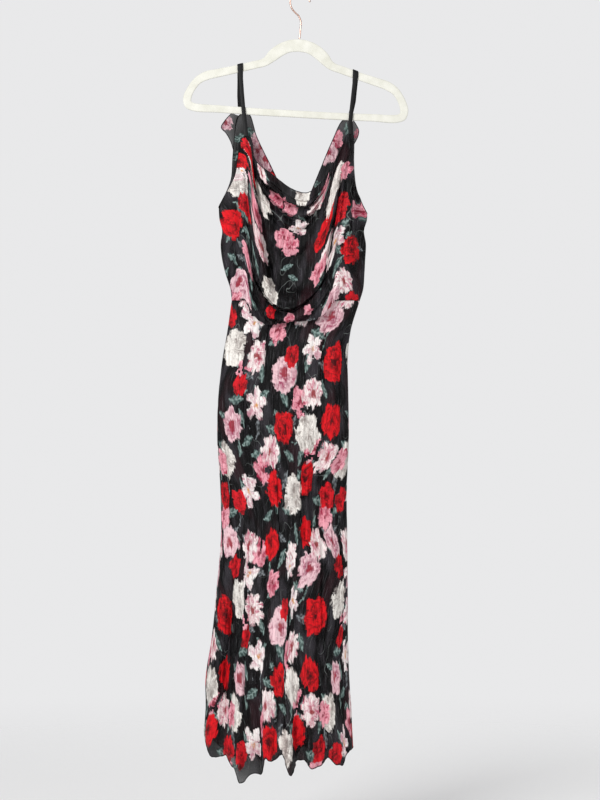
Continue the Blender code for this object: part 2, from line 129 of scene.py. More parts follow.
# Broad folds of the skirt. across is the crest and reach its half width. They begin at start and stand
# at their full height from full on. A hollow has a height below nought.
FRONT_FOLDS = (
    # across, reach, start, full, height
    (-0.87, 0.08, 480, 760, 9), (-0.72, 0.07, 380, 700, -10), (-0.54, 0.12, 560, 930, 13),
    (-0.46, 0.10, 8, 120, -6), (-0.33, 0.09, 420, 900, -9), (-0.16, 0.09, 700, 930, 8),
    (0.02, 0.09, 640, 920, -10), (0.15, 0.07, 690, 930, 12), (0.29, 0.08, 560, 900, -10),
    (0.47, 0.12, 620, 920, 8), (0.62, 0.08, 60, 420, -9), (0.76, 0.09, 40, 380, 7),
    (0.88, 0.06, 100, 500, -7), (-0.92, 0.035, 800, 900, 9), (-0.80, 0.040, 800, 900, -9),
    (-0.68, 0.030, 820, 905, 9), (-0.55, 0.035, 830, 940, 12), (-0.45, 0.050, 850, 945, -12),
    (-0.24, 0.035, 830, 925, 10), (-0.06, 0.040, 820, 905, -8), (0.145, 0.030, 820, 930, 8),
    (0.26, 0.035, 820, 905, -8), (0.42, 0.030, 820, 915, 8), (0.52, 0.035, 820, 915, -8),
    (0.68, 0.030, 800, 900, 9), (0.80, 0.035, 800, 910, -9), (0.92, 0.030, 780, 890, 9),
)
BACK_FOLDS = (
    # across, reach, start, full, height
    (-0.80, 0.09, 260, 720, 10), (-0.62, 0.09, 180, 640, -10), (-0.44, 0.10, 420, 880, 9),
    (-0.25, 0.10, 90, 600, -9), (-0.06, 0.11, 520, 900, 11), (0.15, 0.10, 300, 820, -11),
    (0.34, 0.10, 640, 920, 10), (0.52, 0.09, 150, 560, -9), (0.69, 0.09, 380, 800, 10),
    (0.84, 0.07, 120, 600, -8),
)

# Narrow creases of the skirt, which begin and end on the way down and may lean.
FRONT_CREASES = (
    # across at the top, across at the end, reach, start, end, height
    (-0.33, -0.30, 0.030, 0, 170, -4.5), (0.60, 0.62, 0.030, 40, 190, -4),
    (0.79, 0.77, 0.035, 60, 260, 4), (0.89, 0.88, 0.030, 20, 300, -4),
    (0.28, 0.30, 0.022, 290, 520, -4.5), (0.37, 0.36, 0.030, 280, 530, 4),
    (0.46, 0.43, 0.022, 300, 510, -4), (0.80, 0.76, 0.025, 350, 560, -4),
    (-0.84, -0.79, 0.018, 520, 900, 5), (-0.76, -0.71, 0.025, 470, 900, -5),
    (-0.30, -0.26, 0.015, 460, 700, 3), (0.80, 0.75, 0.045, 600, 900, -6),
    (-0.93, -0.90, 0.030, 150, 520, 4), (-0.86, -0.86, 0.025, 200, 470, -4),
    (-0.55, -0.60, 0.025, 120, 330, 3), (0.06, 0.02, 0.025, 120, 360, 2.5),
    (-0.10, -0.06, 0.020, 300, 560, -3), (0.15, 0.12, 0.020, 520, 760, -3.5),
    (-0.47, -0.45, 0.020, 560, 830, -3.5), (0.55, 0.60, 0.022, 440, 700, 3.5),
    (-0.62, -0.64, 0.022, 640, 900, -4), (0.93, 0.92, 0.022, 420, 860, -4),
)
BACK_CREASES = (
    # across at the top, across at the end, reach, start, end, height
    (-0.72, -0.68, 0.030, 20, 240, -4), (-0.36, -0.40, 0.025, 60, 320, 3.5),
    (0.02, 0.05, 0.022, 180, 420, -3.5), (0.26, 0.22, 0.025, 40, 260, 3),
    (0.60, 0.64, 0.028, 300, 560, -4), (0.90, 0.86, 0.030, 120, 520, -4),
    (-0.90, -0.88, 0.028, 380, 820, 4), (-0.52, -0.50, 0.022, 520, 860, -4),
    (-0.15, -0.18, 0.022, 480, 760, 3.5), (0.44, 0.42, 0.025, 600, 880, -4),
    (0.76, 0.78, 0.022, 560, 880, 3.5),
)

# The free upper edge of each bodice. round is the column of cloth, from seam to seam.
FRONT_EDGE = (
    # round, across, drop, out
    (-1.0, -162, 428, 0), (-0.985, -161.8, 427, 2.2), (-0.90, -147, 399, 8), (-0.82, -131, 368, 11),
    (-0.72, -124, 330, 12), (-0.63, -117, 293, 12), (-0.54, -97, 292, 13), (-0.47, -92, 326, 18),
    (-0.38, -80, 345, 24), (-0.26, -58, 362, 28), (-0.12, -24, 389, 31), (0.0, 0, 400, 32),
    (0.10, 18, 400, 32), (0.22, 44, 378, 30), (0.34, 66, 344, 26), (0.45, 84, 308, 19),
    (0.53, 92, 286, 13), (0.62, 106, 285, 12), (0.72, 107, 340, 12), (0.84, 110, 386, 11),
    (0.92, 121, 414, 7), (0.985, 131.8, 439, 2.2), (1.0, 132, 440, 0),
)
BACK_EDGE = (
    # round, across, drop, out
    (-1.0, -162, 428, 0), (-0.985, -161.8, 427, 2.2), (-0.88, -138, 372, 9), (-0.79, -134, 322, 12),
    (-0.72, -131, 286, 13), (-0.66, -128, 256, 13), (-0.60, -122, 243, 13), (-0.50, -101, 241, 13),
    (-0.40, -87, 284, 17), (-0.27, -54, 352, 24), (-0.13, -22, 424, 29), (0.0, -6, 462, 30),
    (0.12, 8, 430, 29), (0.26, 34, 366, 25), (0.40, 66, 290, 17), (0.50, 84, 254, 13),
    (0.60, 103.5, 253, 13), (0.70, 105.5, 312, 14), (0.82, 111, 380, 12), (0.92, 121, 413, 7),
    (0.985, 131.8, 439, 2.2), (1.0, 132, 440, 0),
)

# How a bodice falls from its edge to the waist seam. centre and side are the share of the way down to the
# seam: the cowl's centre falls past it and turns up behind. The last six columns stand the cloth out.
FRONT_FALL = (
    # down, centre, side, seam, outer, tube, flank, cowl, middle
    (0.00, 0.00, 0.00, 0, -3, -9, -6, 0, 2), (0.08, 0.08, 0.08, 0, 0, -1, -4, -4, -4),
    (0.22, 0.27, 0.24, 0, 6, 13, 3, -10, -13), (0.42, 0.54, 0.46, 0, 9, 22, 9, -14, -19),
    (0.60, 0.75, 0.66, 0, 7, 20, 12, -14, -20), (0.73, 0.90, 0.80, 0, 4, 16, 12, -7, -11),
    (0.79, 0.955, 0.86, 0, 2, 13, 14, 6, 4), (0.84, 1.03, 0.91, 0, 1, 11, 16, 15, 14),
    (0.89, 1.13, 0.95, 0, 0, 8, 15, 20, 20), (0.94, 1.20, 0.975, 0, 0, 5, 11, 15, 15),
    (0.975, 1.10, 0.985, 0, 0, 4, 7, 8, 7.5), (1.00, 0.985, 1.00, 0, 0, 1, 3.6, 3.4, 3),
)
BACK_FALL = (
    # down, centre, side, seam, outer, tube, flank, cowl, middle
    (0.00, 0.00, 0.00, 0, -3, -8, -5, 0, 1), (0.15, 0.15, 0.15, 0, 3, -2, -1, 3, 2),
    (0.35, 0.35, 0.35, 0, 7, 3, 6, 1, 5), (0.60, 0.60, 0.60, 0, 8, 5, 7, 3, 6),
    (0.82, 0.82, 0.82, 0, 4, 4, 4, 3, 4), (1.00, 1.00, 1.00, 0, 0, 0, 0, 0, 0),
)
FALL_ROUND = (-1.0, -0.80, -0.60, -0.42, -0.22, 0.0, 0.22, 0.42, 0.60, 0.80, 1.0)
POUCH_ROUND, POUCH_REACH = -0.08, 0.56

# The side seams above the waist.
BODICE_SIDES = (
    # drop, left, right
    (428, -162, 131), (451, -160.5, 132), (475, -155, 126), (499, -158, 130), (535, -154.5, 129),
    (558, -149, 128), (594, -138, 125), (614, -136, 119),
)

# Creases of the bodices, straight on the cloth from one place to another.
FRONT_BODICE_CREASES = (
    # down, around, to down, to around, reach, height
    (0.00, -0.52, 0.80, -0.25, 0.024, 8), (0.04, -0.455, 0.84, -0.185, 0.028, -9),
    (0.18, -0.585, 0.52, -0.54, 0.022, -5), (0.06, 0.56, 0.80, 0.30, 0.026, 8),
    (0.12, 0.49, 0.84, 0.22, 0.028, -8), (0.05, 0.66, 0.60, 0.62, 0.020, -4),
    (0.30, 0.80, 0.85, 0.72, 0.030, 3), (0.25, -0.80, 0.80, -0.72, 0.030, -3),
    (0.30, -0.66, 0.75, -0.60, 0.025, 3), (0.55, -0.50, 0.95, -0.40, 0.025, -4),
    (0.50, 0.50, 0.90, 0.42, 0.025, 3),
)
BACK_BODICE_CREASES = (
    # down, around, to down, to around, reach, height
    (0.00, -0.50, 0.70, -0.36, 0.030, 4), (0.05, 0.50, 0.72, 0.34, 0.030, 4),
    (0.05, -0.60, 0.60, -0.56, 0.022, -4), (0.05, 0.60, 0.60, 0.58, 0.022, -4),
    (0.30, -0.12, 0.95, -0.16, 0.035, -4), (0.35, 0.18, 0.95, 0.14, 0.030, 4),
    (0.40, 0.74, 0.95, 0.66, 0.028, -3),
)
# Swags of the cowl: rolls that hang from strap to strap. sag is how much lower the middle is.
SWAGS = (
    # down, reach, height, half width, sag
    (0.050, 0.024, 5.0, 0.40, 0.02), (0.095, 0.014, 6.0, 0.34, 0.04), (0.122, 0.012, -9.0, 0.34, 0.04),
    (0.165, 0.020, 5.5, 0.32, 0.06), (0.207, 0.014, -8.0, 0.30, 0.07), (0.245, 0.022, 4.0, 0.28, 0.08),
    (0.300, 0.018, -4.0, 0.24, 0.08), (0.400, 0.030, 2.0, 0.22, 0.08), (0.470, 0.024, -2.5, 0.20, 0.08),
    (0.815, 0.020, 5.0, 0.40, 0.24), (0.850, 0.014, 6.0, 0.42, 0.24), (0.880, 0.010, -9.0, 0.44, 0.24),
    (0.905, 0.012, 5.0, 0.44, 0.16), (0.930, 0.009, -5.0, 0.46, 0.12),
)

# The straps, from the front of the bodice up over the hanger's arm and down to the back.
LEFT_STRAP = (
    # across, out, drop, width
    (-107, -12.5, 290.5, 9), (-109, -9.5, 264, 8), (-112, -6.3, 240, 8), (-115.5, -5.2, 200, 8),
    (-118, -5.0, 170, 9), (-119, -5.0, 152, 11.5),
)
LEFT_STRAP_BACK = (
    # across, out, drop, width
    (-119.5, 5.0, 152, 11.5), (-120.5, 5.2, 172, 9), (-121, 7.0, 204, 9), (-120, 10.0, 226, 9),
    (-117, 12.8, 239.5, 9),
)
RIGHT_STRAP = (
    # across, out, drop, width
    (101, -12.5, 283.5, 9), (99.5, -9.5, 264, 8), (101.5, -6.3, 244, 8), (105.5, -5.2, 208, 8),
    (109, -5.0, 180, 9), (110.5, -5.0, 166, 11.5),
)
RIGHT_STRAP_BACK = (
    # across, out, drop, width
    (111, 5.0, 166, 11.5), (110, 5.2, 186, 9), (107, 7.0, 216, 9), (102, 10.0, 238, 9),
    (98, 12.8, 251.5, 9),
)

# The free flaps beside the straps: an inner line on the back's armhole edge and an outer, free one.
FLAPS = (
    # name, inner line and outer line as rows of (across, out, up), and the flat place of its first corner
    (
        "flap_left",
        ((-122, 13, -243), (-126, 13, -256), (-130, 12.5, -280), (-132, 12, -304)),
        (
            (-136, 10, -238), (-150, 3, -254), (-157, 1, -268), (-147, 0, -280), (-138, 3, -296),
            (-133, 9, -312),
        ),
        (-190, -330),
    ),
    (
        "flap_right",
        ((101, 13, -254), (104, 13, -262), (105, 13.5, -284), (106, 13.5, -302)),
        ((107, 8, -254), (112, 3, -262), (117, 0, -274), (115, -1, -287), (108, 6, -300)),
        (150, -330),
    ),
)
FLAP_WAVE, FLAP_BILLOW = 1.6, 3.0  # how far a flap's free edge waves, and its middle stands out

# Half of the hanger, in its own untilted plane. along pairs a place outside with one inside.
HANGER_OUTER = (
    # along, across, up
    (0.00, 0, 0), (0.03, 14, -1.5), (0.06, 29, -6), (0.09, 44, -14), (0.12, 57, -25), (0.17, 70, -42),
    (0.23, 95, -50.5), (0.30, 121, -58.5), (0.39, 158, -68), (0.47, 187, -76.5), (0.52, 203, -88),
    (0.57, 216, -106), (0.64, 225, -132), (0.69, 220, -148), (0.74, 206.5, -154.5), (0.86, 150, -155.5),
    (1.00, 75, -156.5),
)
HANGER_INNER = (
    # along, across, up
    (0.00, 0, -25), (0.03, 14, -26.5), (0.07, 27, -32), (0.12, 49, -48), (0.17, 63, -57),
    (0.23, 84, -63.5), (0.30, 119, -74), (0.39, 150, -83), (0.47, 179, -92), (0.52, 193, -100),
    (0.57, 203, -114), (0.64, 208.5, -130), (0.72, 205, -138.5), (0.86, 150, -141), (1.00, 75, -142.5),
)
HANGER_ARM = slice(5, 11)  # the rows of the outer line that lie on the arm, where a strap can rest
# The hook's stem as (across, drop), and its round bend: centre, and the first and last angle in degrees.
HOOK_STEM = ((-1, 91.4), (1, 70), (1.5, 56), (-2.5, 46), (-10, 38.5), (-16, 31))
HOOK_CENTRE = (0, 18)
HOOK_ARC = (202, 0.6441)

# How a ribbon lies on the hanger's arm.
ARM_GAP = 1.45  # from the top of the hanger's arm to the middle of a ribbon
LEAN_REACH, LEAN_FADE = 26.0, 20.0  # a ribbon lies along the arm's slope, and hangs straight again below
SLOPE_REACH = 4  # how far to either side the arm's slope is taken from
RIBBON_CROWN = 0.35  # how far a ribbon's middle stands out
RIBBON_WALL, RIBBON_FLAT_WIDTH = 0.0007, 0.010  # in metres

# How fine the grids are.
PANEL_AROUND, PANEL_DOWN = 241, 176
MIDDLE_COLUMN = slice(PANEL_AROUND // 2, PANEL_AROUND // 2 + 1)
RIBBON_ALONG, RIBBON_ACROSS, ARC_ROWS = 150, 13, 7
FLAP_ALONG, FLAP_ACROSS = 41, 25
HANGER_PLACES, HANGER_SIDES = 150, 28
WIRE_PLACES, WIRE_SIDES, HOOK_KNOTS, EDGE_SIDES = 120, 16, 10, 8
LATTICE = 64  # the random values of a noise, each way

# ------------------------------------------------------------------------------------------- the print

# What each kind of painted bloom is like. Colours are sRGB hex values. petals is how many its outline has,
# notch how deep they are cut, rings how many rows of petals lie inside, and streaks how much of it is
# brush strokes.
KINDS = (
    # name, light, dark, heart's colour, petals, notch, rings, heart's breadth, streaks
    ("red rose", "#e2141f", "#62060d", "#33040a", 7, 0.16, 3.0, 0.18, 0.35),
    ("pink rose", "#f2cdd3", "#a04a66", "#96102a", 6, 0.18, 2.6, 0.30, 0.40),
    ("white peony", "#fbf1ee", "#c4667e", "#8f1620", 9, 0.30, 2.2, 0.26, 0.75),
    ("cream blossom", "#f6f1ea", "#958a85", "#cfc6bf", 6, 0.20, 2.4, 0.06, 0.75),
    ("star flower", "#faf4f1", "#c98c9b", "#d08a34", 5, 0.72, 0.8, 0.18, 0.45),
    ("pink bud", "#f3acb9", "#a82a4b", "#7c0e28", 5, 0.34, 1.8, 0.20, 0.60),
    ("red bud", "#dc1b27", "#66070f", "#42050b", 5, 0.22, 2.0, 0.16, 0.45),
)
KIND = {row[0]: index for index, row in enumerate(KINDS)}

# One repeat of the skirt's print, charted on the flat cloth: where each bloom's middle is, its breadth and
# how far it is turned. Later rows lie over earlier ones.
REPEAT = (440.0, 500.0)
BLOOM_REACH, LEAF_REACH = 1.3, 1.15  # how far out a motif is looked for, as a share of half its breadth
KIND_STEPS = 8  # a ramp's flat steps, of which there are at least as many as kinds
NOWHERE = 5.0  # the place in a motif's own frame of cloth that has no motif
SEED_STEP = 0.618034  # the golden ratio spreads the motifs' seeds evenly
BLOOMS = (
    # kind, across, down, breadth, turn
    ("pink bud", -138, 128, 66, 10), ("cream blossom", -180, 96, 88, 5),
    ("white peony", -106, 114, 74, 0), ("pink rose", 0, 148, 86, 15), ("red bud", 20, 114, 52, 40),
    ("pink rose", 116, 34, 82, -10), ("star flower", -130, 42, 78, 20), ("pink bud", -34, 62, 60, 160),
    ("star flower", 80, 98, 66, 190), ("red rose", 170, 128, 88, 10), ("red bud", -138, 170, 50, 80),
    ("star flower", -84, 207, 76, 50), ("pink bud", 60, 202, 72, 30), ("white peony", 94, 187, 72, 70),
    ("pink rose", -168, 250, 76, 40), ("red rose", 8, 254, 74, 60), ("red rose", 158, 242, 76, 110),
    ("pink bud", 110, 300, 70, 15), ("cream blossom", 84, 266, 86, 80), ("white peony", 158, 314, 74, 25),
    ("pink bud", -72, 338, 64, 70), ("white peony", -42, 302, 74, 100),
    ("cream blossom", -206, 319, 84, 30), ("pink bud", 208, 322, 62, 0), ("red rose", 106, 356, 76, 150),
    ("cream blossom", 42, 388, 88, 10), ("red rose", -38, 377, 80, 35), ("star flower", -131, 380, 80, 8),
    ("red bud", -177, 400, 58, 20), ("pink bud", 192, 432, 62, 200), ("red bud", 196, 390, 62, 0),
    ("pink bud", -105, 502, 64, 110), ("white peony", -142, 488, 74, 60), ("red rose", -56, 486, 74, 85),
    ("white peony", 36, 508, 66, 40), ("white peony", 150, 486, 72, 130), ("red rose", 104, 462, 66, 5),
    ("pink rose", 216, 482, 72, 75), ("red bud", -204, 30, 54, 140), ("star flower", 34, 30, 58, 100),
)
# How a spray's leaves stand: off its stem in radians, and then, as shares of the first leaf, from one to the
# next, from the stem to a leaf's middle, and how much smaller each is.
LEAF_LEAN, LEAF_STEP, LEAF_OFFSET, LEAF_SHRINK = 0.75, 0.62, 0.55, 0.07
# Sprays of leaves, under the blooms: where a spray starts, which way it points and how many leaves it has.
SPRAYS = (
    # across, down, length of a leaf, heading, leaves
    (-150, 318, 57, 330, 6), (-60, 250, 52, 60, 3), (20, 220, 62, 280, 2), (140, 392, 57, 60, 4),
    (40, 440, 57, 100, 3), (-90, 150, 52, 120, 3), (-10, 330, 55, 300, 3), (84, 310, 57, 160, 4),
    (160, 186, 55, 250, 3), (112, 140, 55, 260, 3), (-170, 350, 52, 100, 3), (-40, 430, 55, 330, 3),
    (190, 280, 55, 70, 3), (-10, 70, 52, 200, 3), (60, 60, 60, 60, 4), (-180, 200, 55, 40, 3),
    (200, 430, 55, 30, 3), (-100, 440, 55, 20, 3), (10, 490, 55, 170, 3), (150, 10, 55, 330, 3),
    (-160, 140, 52, 300, 3), (-40, 180, 49, 200, 3), (60, 336, 52, 330, 3), (-90, 270, 52, 200, 4),
)

# The front bodice's part of the print. down is below the waist seam, and so above it is less than nought.
BODICE_BLOOMS = (
    # kind, across, down, breadth, turn
    ("red rose", -179, -150, 68, 20), ("pink rose", -143, -36, 74, -15), ("pink bud", -146, 0, 42, 40),
    ("cream blossom", -120, -312, 46, 0), ("cream blossom", -90, -315, 56, 10),
    ("cream blossom", -159, -231, 56, 10), ("star flower", -150, -258, 42, 30),
    ("red bud", -146, -197, 48, 90), ("pink bud", -113, -266, 48, 10),
    ("white peony", -100, -222, 60, 10), ("red bud", -129, -316, 34, 0), ("red rose", -150, -282, 40, 60),
    ("white peony", -92, -387, 38, 60), ("pink bud", -52, -358, 46, 120), ("pink bud", -22, -337, 44, 30),
    ("cream blossom", 9, -369, 44, 80), ("white peony", 32, -322, 30, 20),
    ("star flower", 0, -279, 52, 10), ("pink bud", -34, -259, 52, 200), ("pink bud", -18, -238, 48, 60),
    ("red rose", 62, -228, 54, 30), ("cream blossom", 90, -258, 60, 10), ("pink bud", 117, -260, 44, 30),
    ("red bud", 117, -196, 48, 0), ("red bud", 115, -176, 36, 60), ("pink bud", 50, -321, 48, 0),
    ("white peony", 39, -316, 44, 0), ("red rose", 147, -102, 64, 0), ("white peony", 117, -40, 58, 40),
    ("star flower", 105, -134, 56, 0), ("white peony", 66, -170, 54, 20), ("pink bud", 52, -167, 46, 60),
    ("cream blossom", -74, -156, 46, 20), ("cream blossom", -64, -133, 50, 60),
    ("red bud", -60, -88, 30, 100), ("pink bud", -16, -65, 30, 200), ("pink bud", 30, -77, 26, 40),
    ("pink bud", -135, -106, 40, 0), ("pink rose", 78, -20, 64, 0), ("red bud", 135, 0, 42, 30),
    ("pink bud", 158, -180, 42, 30),
)
BACK_BLOOMS = (
    # kind, across, down, breadth, turn
    ("pink rose", -86, -303, 84, 20), ("pink rose", -75, -282, 56, 60), ("red rose", -44, -238, 66, 30),
    ("pink bud", 91, -323, 50, 0), ("pink rose", 76, -300, 54, 60), ("pink rose", -120, -150, 76, 20),
    ("red rose", -40, -110, 76, 50), ("cream blossom", 38, -146, 80, 10),
    ("white peony", 120, -150, 72, 80), ("star flower", -160, -60, 64, 20), ("pink bud", -84, -40, 58, 0),
    ("red rose", 24, -46, 72, 30), ("pink rose", 98, -60, 76, 0), ("star flower", 172, -92, 60, 60),
    ("red bud", 158, -24, 54, 0), ("cream blossom", -178, -176, 72, 40), ("pink rose", -2, -196, 72, 0),
    ("pink bud", -60, -200, 56, 70), ("red rose", 84, -214, 66, 10), ("white peony", -110, -232, 64, 20),
    ("pink bud", 150, -210, 54, 90), ("red bud", -150, -112, 50, 20), ("star flower", -20, -8, 54, 10),
)
FLAP_BLOOMS = (
    # kind, across, down, breadth, turn
    ("pink rose", -216, -306, 40, 0), ("pink bud", 166, -300, 30, 0),
)
BODICE_SPRAYS = (
    # across, down, length of a leaf, heading, leaves
    (150, -201, 58, 100, 5), (-179, -199, 60, 80, 4), (-195, -97, 44, 80, 4), (-28, -326, 38, 10, 3),
    (-126, -182, 36, 90, 3), (96, -24, 36, 200, 3), (78, -314, 34, 200, 3), (-133, -283, 34, 60, 3),
    (119, -124, 34, 20, 3), (38, -151, 36, 60, 2), (-89, -64, 38, 200, 3), (60, -55, 34, 80, 3),
    (-69, -403, 30, 200, 2), (94, -139, 34, 60, 2), (-42, -191, 34, 30, 2),
)
BACK_SPRAYS = (
    # across, down, length of a leaf, heading, leaves
    (-134, -353, 52, 80, 4), (-120, -336, 44, 200, 3), (117, -362, 40, 120, 3), (-90, -100, 48, 60, 4),
    (70, -100, 48, 200, 4), (-20, -150, 44, 90, 3), (140, -110, 46, 30, 3), (-140, -20, 46, 300, 3),
    (60, -10, 44, 160, 3), (-60, -160, 44, 20, 3), (30, -240, 44, 60, 3),
)


def column(table, index):
    """One column of a table, as an array."""
    return np.array([row[index] for row in table], float)


def through(knots, values, at):
    """A smooth curve through the values: a cubic between each two knots, whose slope at a knot is the mean
    slope there."""
    slopes = np.gradient(values, knots)
    at = np.clip(at, knots[0], knots[-1])
    left = np.clip(np.searchsorted(knots, at, side="right") - 1, 0, len(knots) - 2)
    width = knots[left + 1] - knots[left]
    part = (at - knots[left]) / width
    rest = 1 - part
    return (
        (1 + 2 * part) * rest**2 * values[left]
        + part * rest**2 * width * slopes[left]
        + part**2 * (3 - 2 * part) * values[left + 1]
        - part**2 * rest * width * slopes[left + 1]
    )


def smooth_step(at):
    """0 up to 0, 1 from 1, and a smooth S between."""
    at = np.clip(at, 0, 1)
    return at * at * (3 - 2 * at)


def hidden_in(height, place):
    """The cloth that a valley hides, from nothing before it to all of it past it."""
    return TAKE_UP * -np.minimum(height, 0) * smooth_step(place / 2 + 0.5)


def hollow(around):
    """How far the cloth stands off the side seams' plane: the cosine, raised to less than 1 to flatten it."""
    return np.cos(around * math.pi / 2).clip(0) ** FLATNESS


def value_noise(u, v, seed):
    """Smooth noise from -1 to 1: random values on a square lattice, blended by a smooth S both ways."""
    lattice = np.random.default_rng(seed).uniform(-1, 1, (LATTICE, LATTICE))
    left, top = np.floor(u).astype(int), np.floor(v).astype(int)
    across, down = smooth_step(u - left), smooth_step(v - top)
    columns, rows = (left % LATTICE, (left + 1) % LATTICE), (top % LATTICE, (top + 1) % LATTICE)
    near, far = (lattice[row, columns[0]] * (1 - across) + lattice[row, columns[1]] * across for row in rows)
    return near * (1 - down) + far * down


def crinkle(u, v, pitch, seed):
    """Fine uneven pleats across the cloth, from about -1 to 1: two sines of the way across, whose phases
    wander slowly down the cloth and whose strength comes and goes in patches."""
    wander = 1.5 * value_noise(u / 45, v / 150, seed) + 0.6 * value_noise(u / 16, v / 45, seed + 1)
    phase = 2 * math.pi * u / pitch
    strength = 0.55 + 0.45 * value_noise(u / 38, v / 110, seed + 2)
    second = np.sin(phase * 0.57 + 4.1 * wander + 1.3)
    return strength * (0.62 * np.sin(phase + 3.2 * wander) + 0.5 * second)


def skirt_surface(around, down, facing, hem, folds, creases):
    """One skirt panel: level half rings from seam to seam between the sections' widths and depths, with
    folds and creases as bell curves across that grow and fade on the way down. Returns the points, and the
    cloth that the creases hide."""
    around, down = np.meshgrid(around, down)
    across = np.sin(around * math.pi / 2)
    drop = SEAM_GAP + down * (through(column(hem, 0), column(hem, 1), across) - SEAM_GAP)
    knots = column(SKIRT_SECTIONS, 0)
    left = through(knots, column(SKIRT_SECTIONS, 1), drop)
    right = through(knots, column(SKIRT_SECTIONS, 2), drop)
    depth = through(knots, column(SKIRT_SECTIONS, 3 if facing < 0 else 4), drop)
    out = depth * hollow(around)
    hidden = np.zeros_like(out)
    for crest, reach, start, full, height in folds:
        shape = np.exp(-(((across - crest) / reach) ** 2))
        out = out + height * shape * smooth_step((drop - start) / (full - start)) * hollow(around)
    for first, last, reach, start, end, height in creases:
        along = (drop - start) / (end - start)
        crest = first + (last - first) * along
        fade = smooth_step(along / CREASE_FADE) * smooth_step((1 - along) / CREASE_FADE)
        height = height * CREASE_DEPTH * fade
        out = out + height * np.exp(-(((across - crest) / reach) ** 2)) * hollow(around)
        hidden = hidden + hidden_in(height, (across - crest) / reach)
    x = (left + right) / 2 + (right - left) / 2 * across
    return np.stack([x, facing * (SIDE_ALLOWANCE + out), -WAIST_DROP - drop], axis=-1), hidden


def bodice_surface(around, down, facing, edge, fall, depth, creases, swags):
    """One bodice panel: each column runs from the free edge to the waist seam along the fall's path, and
    creases and swags are bell curves added to how far it stands out. A swag's roll also hangs over. Returns
    the points, and the cloth that creases hide across and that swags hide downwards."""
    around, down = np.meshgrid(around, down)
    edge_across, edge_drop, edge_out = (through(column(edge, 0), column(edge, i), around) for i in (1, 2, 3))
    rows = column(fall, 0)
    centre = through(rows, column(fall, 1), down)
    side = through(rows, column(fall, 2), down)
    middle = smooth_step(1 - ((around - POUCH_ROUND) / POUCH_REACH) ** 2)
    share = side + (centre - side) * middle
    drop = edge_drop + share * (WAIST_DROP - SEAM_GAP - edge_drop)
    out = depth * hollow(around) + stand_off(fall, around, down)
    out = out + (edge_out - out) * (1 - smooth_step(down / EDGE_BLEND))
    hidden, folded = np.zeros_like(out), np.zeros_like(out)
    for down_0, around_0, down_1, around_1, reach, height in creases:
        along = (down - down_0) / (down_1 - down_0)
        crest = around_0 + (around_1 - around_0) * along
        start, end = along + BODICE_OVERRUN, 1 + BODICE_OVERRUN - along
        fade = smooth_step(start / BODICE_FADE) * smooth_step(end / BODICE_FADE)
        height = height * CREASE_DEPTH * fade
        out = out + height * np.exp(-(((around - crest) / reach) ** 2))
        hidden = hidden + hidden_in(height, (around - crest) / reach)
    for level, reach, height, half, sag in swags:
        place = (around - POUCH_ROUND) / half
        crest = level - sag * place**2
        fade = smooth_step((SWAG_END - abs(place)) / SWAG_FADE)
        height = height * CREASE_DEPTH * fade
        roll = height * np.exp(-(((down - crest) / reach) ** 2))
        out = out + roll
        drop = drop + roll.clip(0) * DROOP
        folded = folded + hidden_in(height, (down - crest) / reach)
    waist = (WAIST_LEFT + WAIST_RIGHT) / 2 + (WAIST_RIGHT - WAIST_LEFT) / 2 * np.sin(around * math.pi / 2)
    x = edge_across + (waist - edge_across) * np.clip(share, 0, 1) + side_bulge(around, drop)
    return np.stack([x, facing * (SIDE_ALLOWANCE + out.clip(0)), -drop], axis=-1), hidden, folded


def stand_off(fall, around, down):
    """The fall's last six columns, mirrored about the middle and smoothed both ways."""
    rows, knots = column(fall, 0), np.array(FALL_ROUND)
    half = [through(rows, column(fall, index), down) for index in range(3, 9)]
    whole = half + half[-2::-1]
    bumps = np.eye(len(knots))
    return sum(through(knots, one, around) * height for one, height in zip(bumps, whole))


def side_bulge(around, drop):
    """What brings the two side seams onto the outline: the outline less a straight line, times the fourth
    power of the way to the seam."""
    knots = column(BODICE_SIDES, 0)
    along = (np.clip(drop, knots[0], knots[-1]) - knots[0]) / (knots[-1] - knots[0])
    pull = []
    for index in (1, 2):
        line = BODICE_SIDES[0][index] + along * (BODICE_SIDES[-1][index] - BODICE_SIDES[0][index])
        pull.append(through(knots, column(BODICE_SIDES, index), drop) - line)
    return np.where(around < 0, *pull) * abs(around) ** SIDE_PULL


def normals(points, facing):
    """Unit normals of a grid of points, away from the wearer: the cross product of the two ways along it."""
    along_down = np.gradient(points, axis=0)
    along_row = np.gradient(points, axis=1)
    out = np.cross(along_down, along_row) * facing
    return out / np.linalg.norm(out, axis=-1, keepdims=True).clip(1e-9)


def running(points, axis, keep=(0, 1, 2)):
    """The distance along the grid's rows or columns, from its first point, in the directions to keep."""
    steps = np.linalg.norm(np.diff(points[..., keep], axis=axis), axis=-1)
    start = np.zeros_like(np.take(steps, [0], axis=axis))
    return np.concatenate([start, np.cumsum(steps, axis=axis)], axis=axis)


# ------------------------------------------------------------------------------------------------ meshes


def grid_faces(rows, columns, closed=False, flip=False):
    """The quads of a grid of points. closed joins the last column to the first."""
    first = np.arange(rows - 1)[:, None] * columns + np.arange(columns if closed else columns - 1)[None]
    beside = first - first % columns + (first % columns + 1) % columns
    ring = np.stack([first, first + columns, beside + columns, beside], axis=-1).reshape(-1, 4)
    return ring[:, ::-1] if flip else ring


def mesh_object(name, points, faces, finish, caps=()):
    """A smooth mesh from points in millimetres and quads, with caps as longer faces."""
    mesh = bpy.data.meshes.new(name)
    mesh.from_pydata(points.reshape(-1, 3) * MM, [], [*faces.tolist(), *caps])
    mesh.shade_smooth()
    mesh.update()
    made = bpy.data.objects.new(name, mesh)
    bpy.context.scene.collection.objects.link(made)
    mesh.materials.append(finish)
    return made


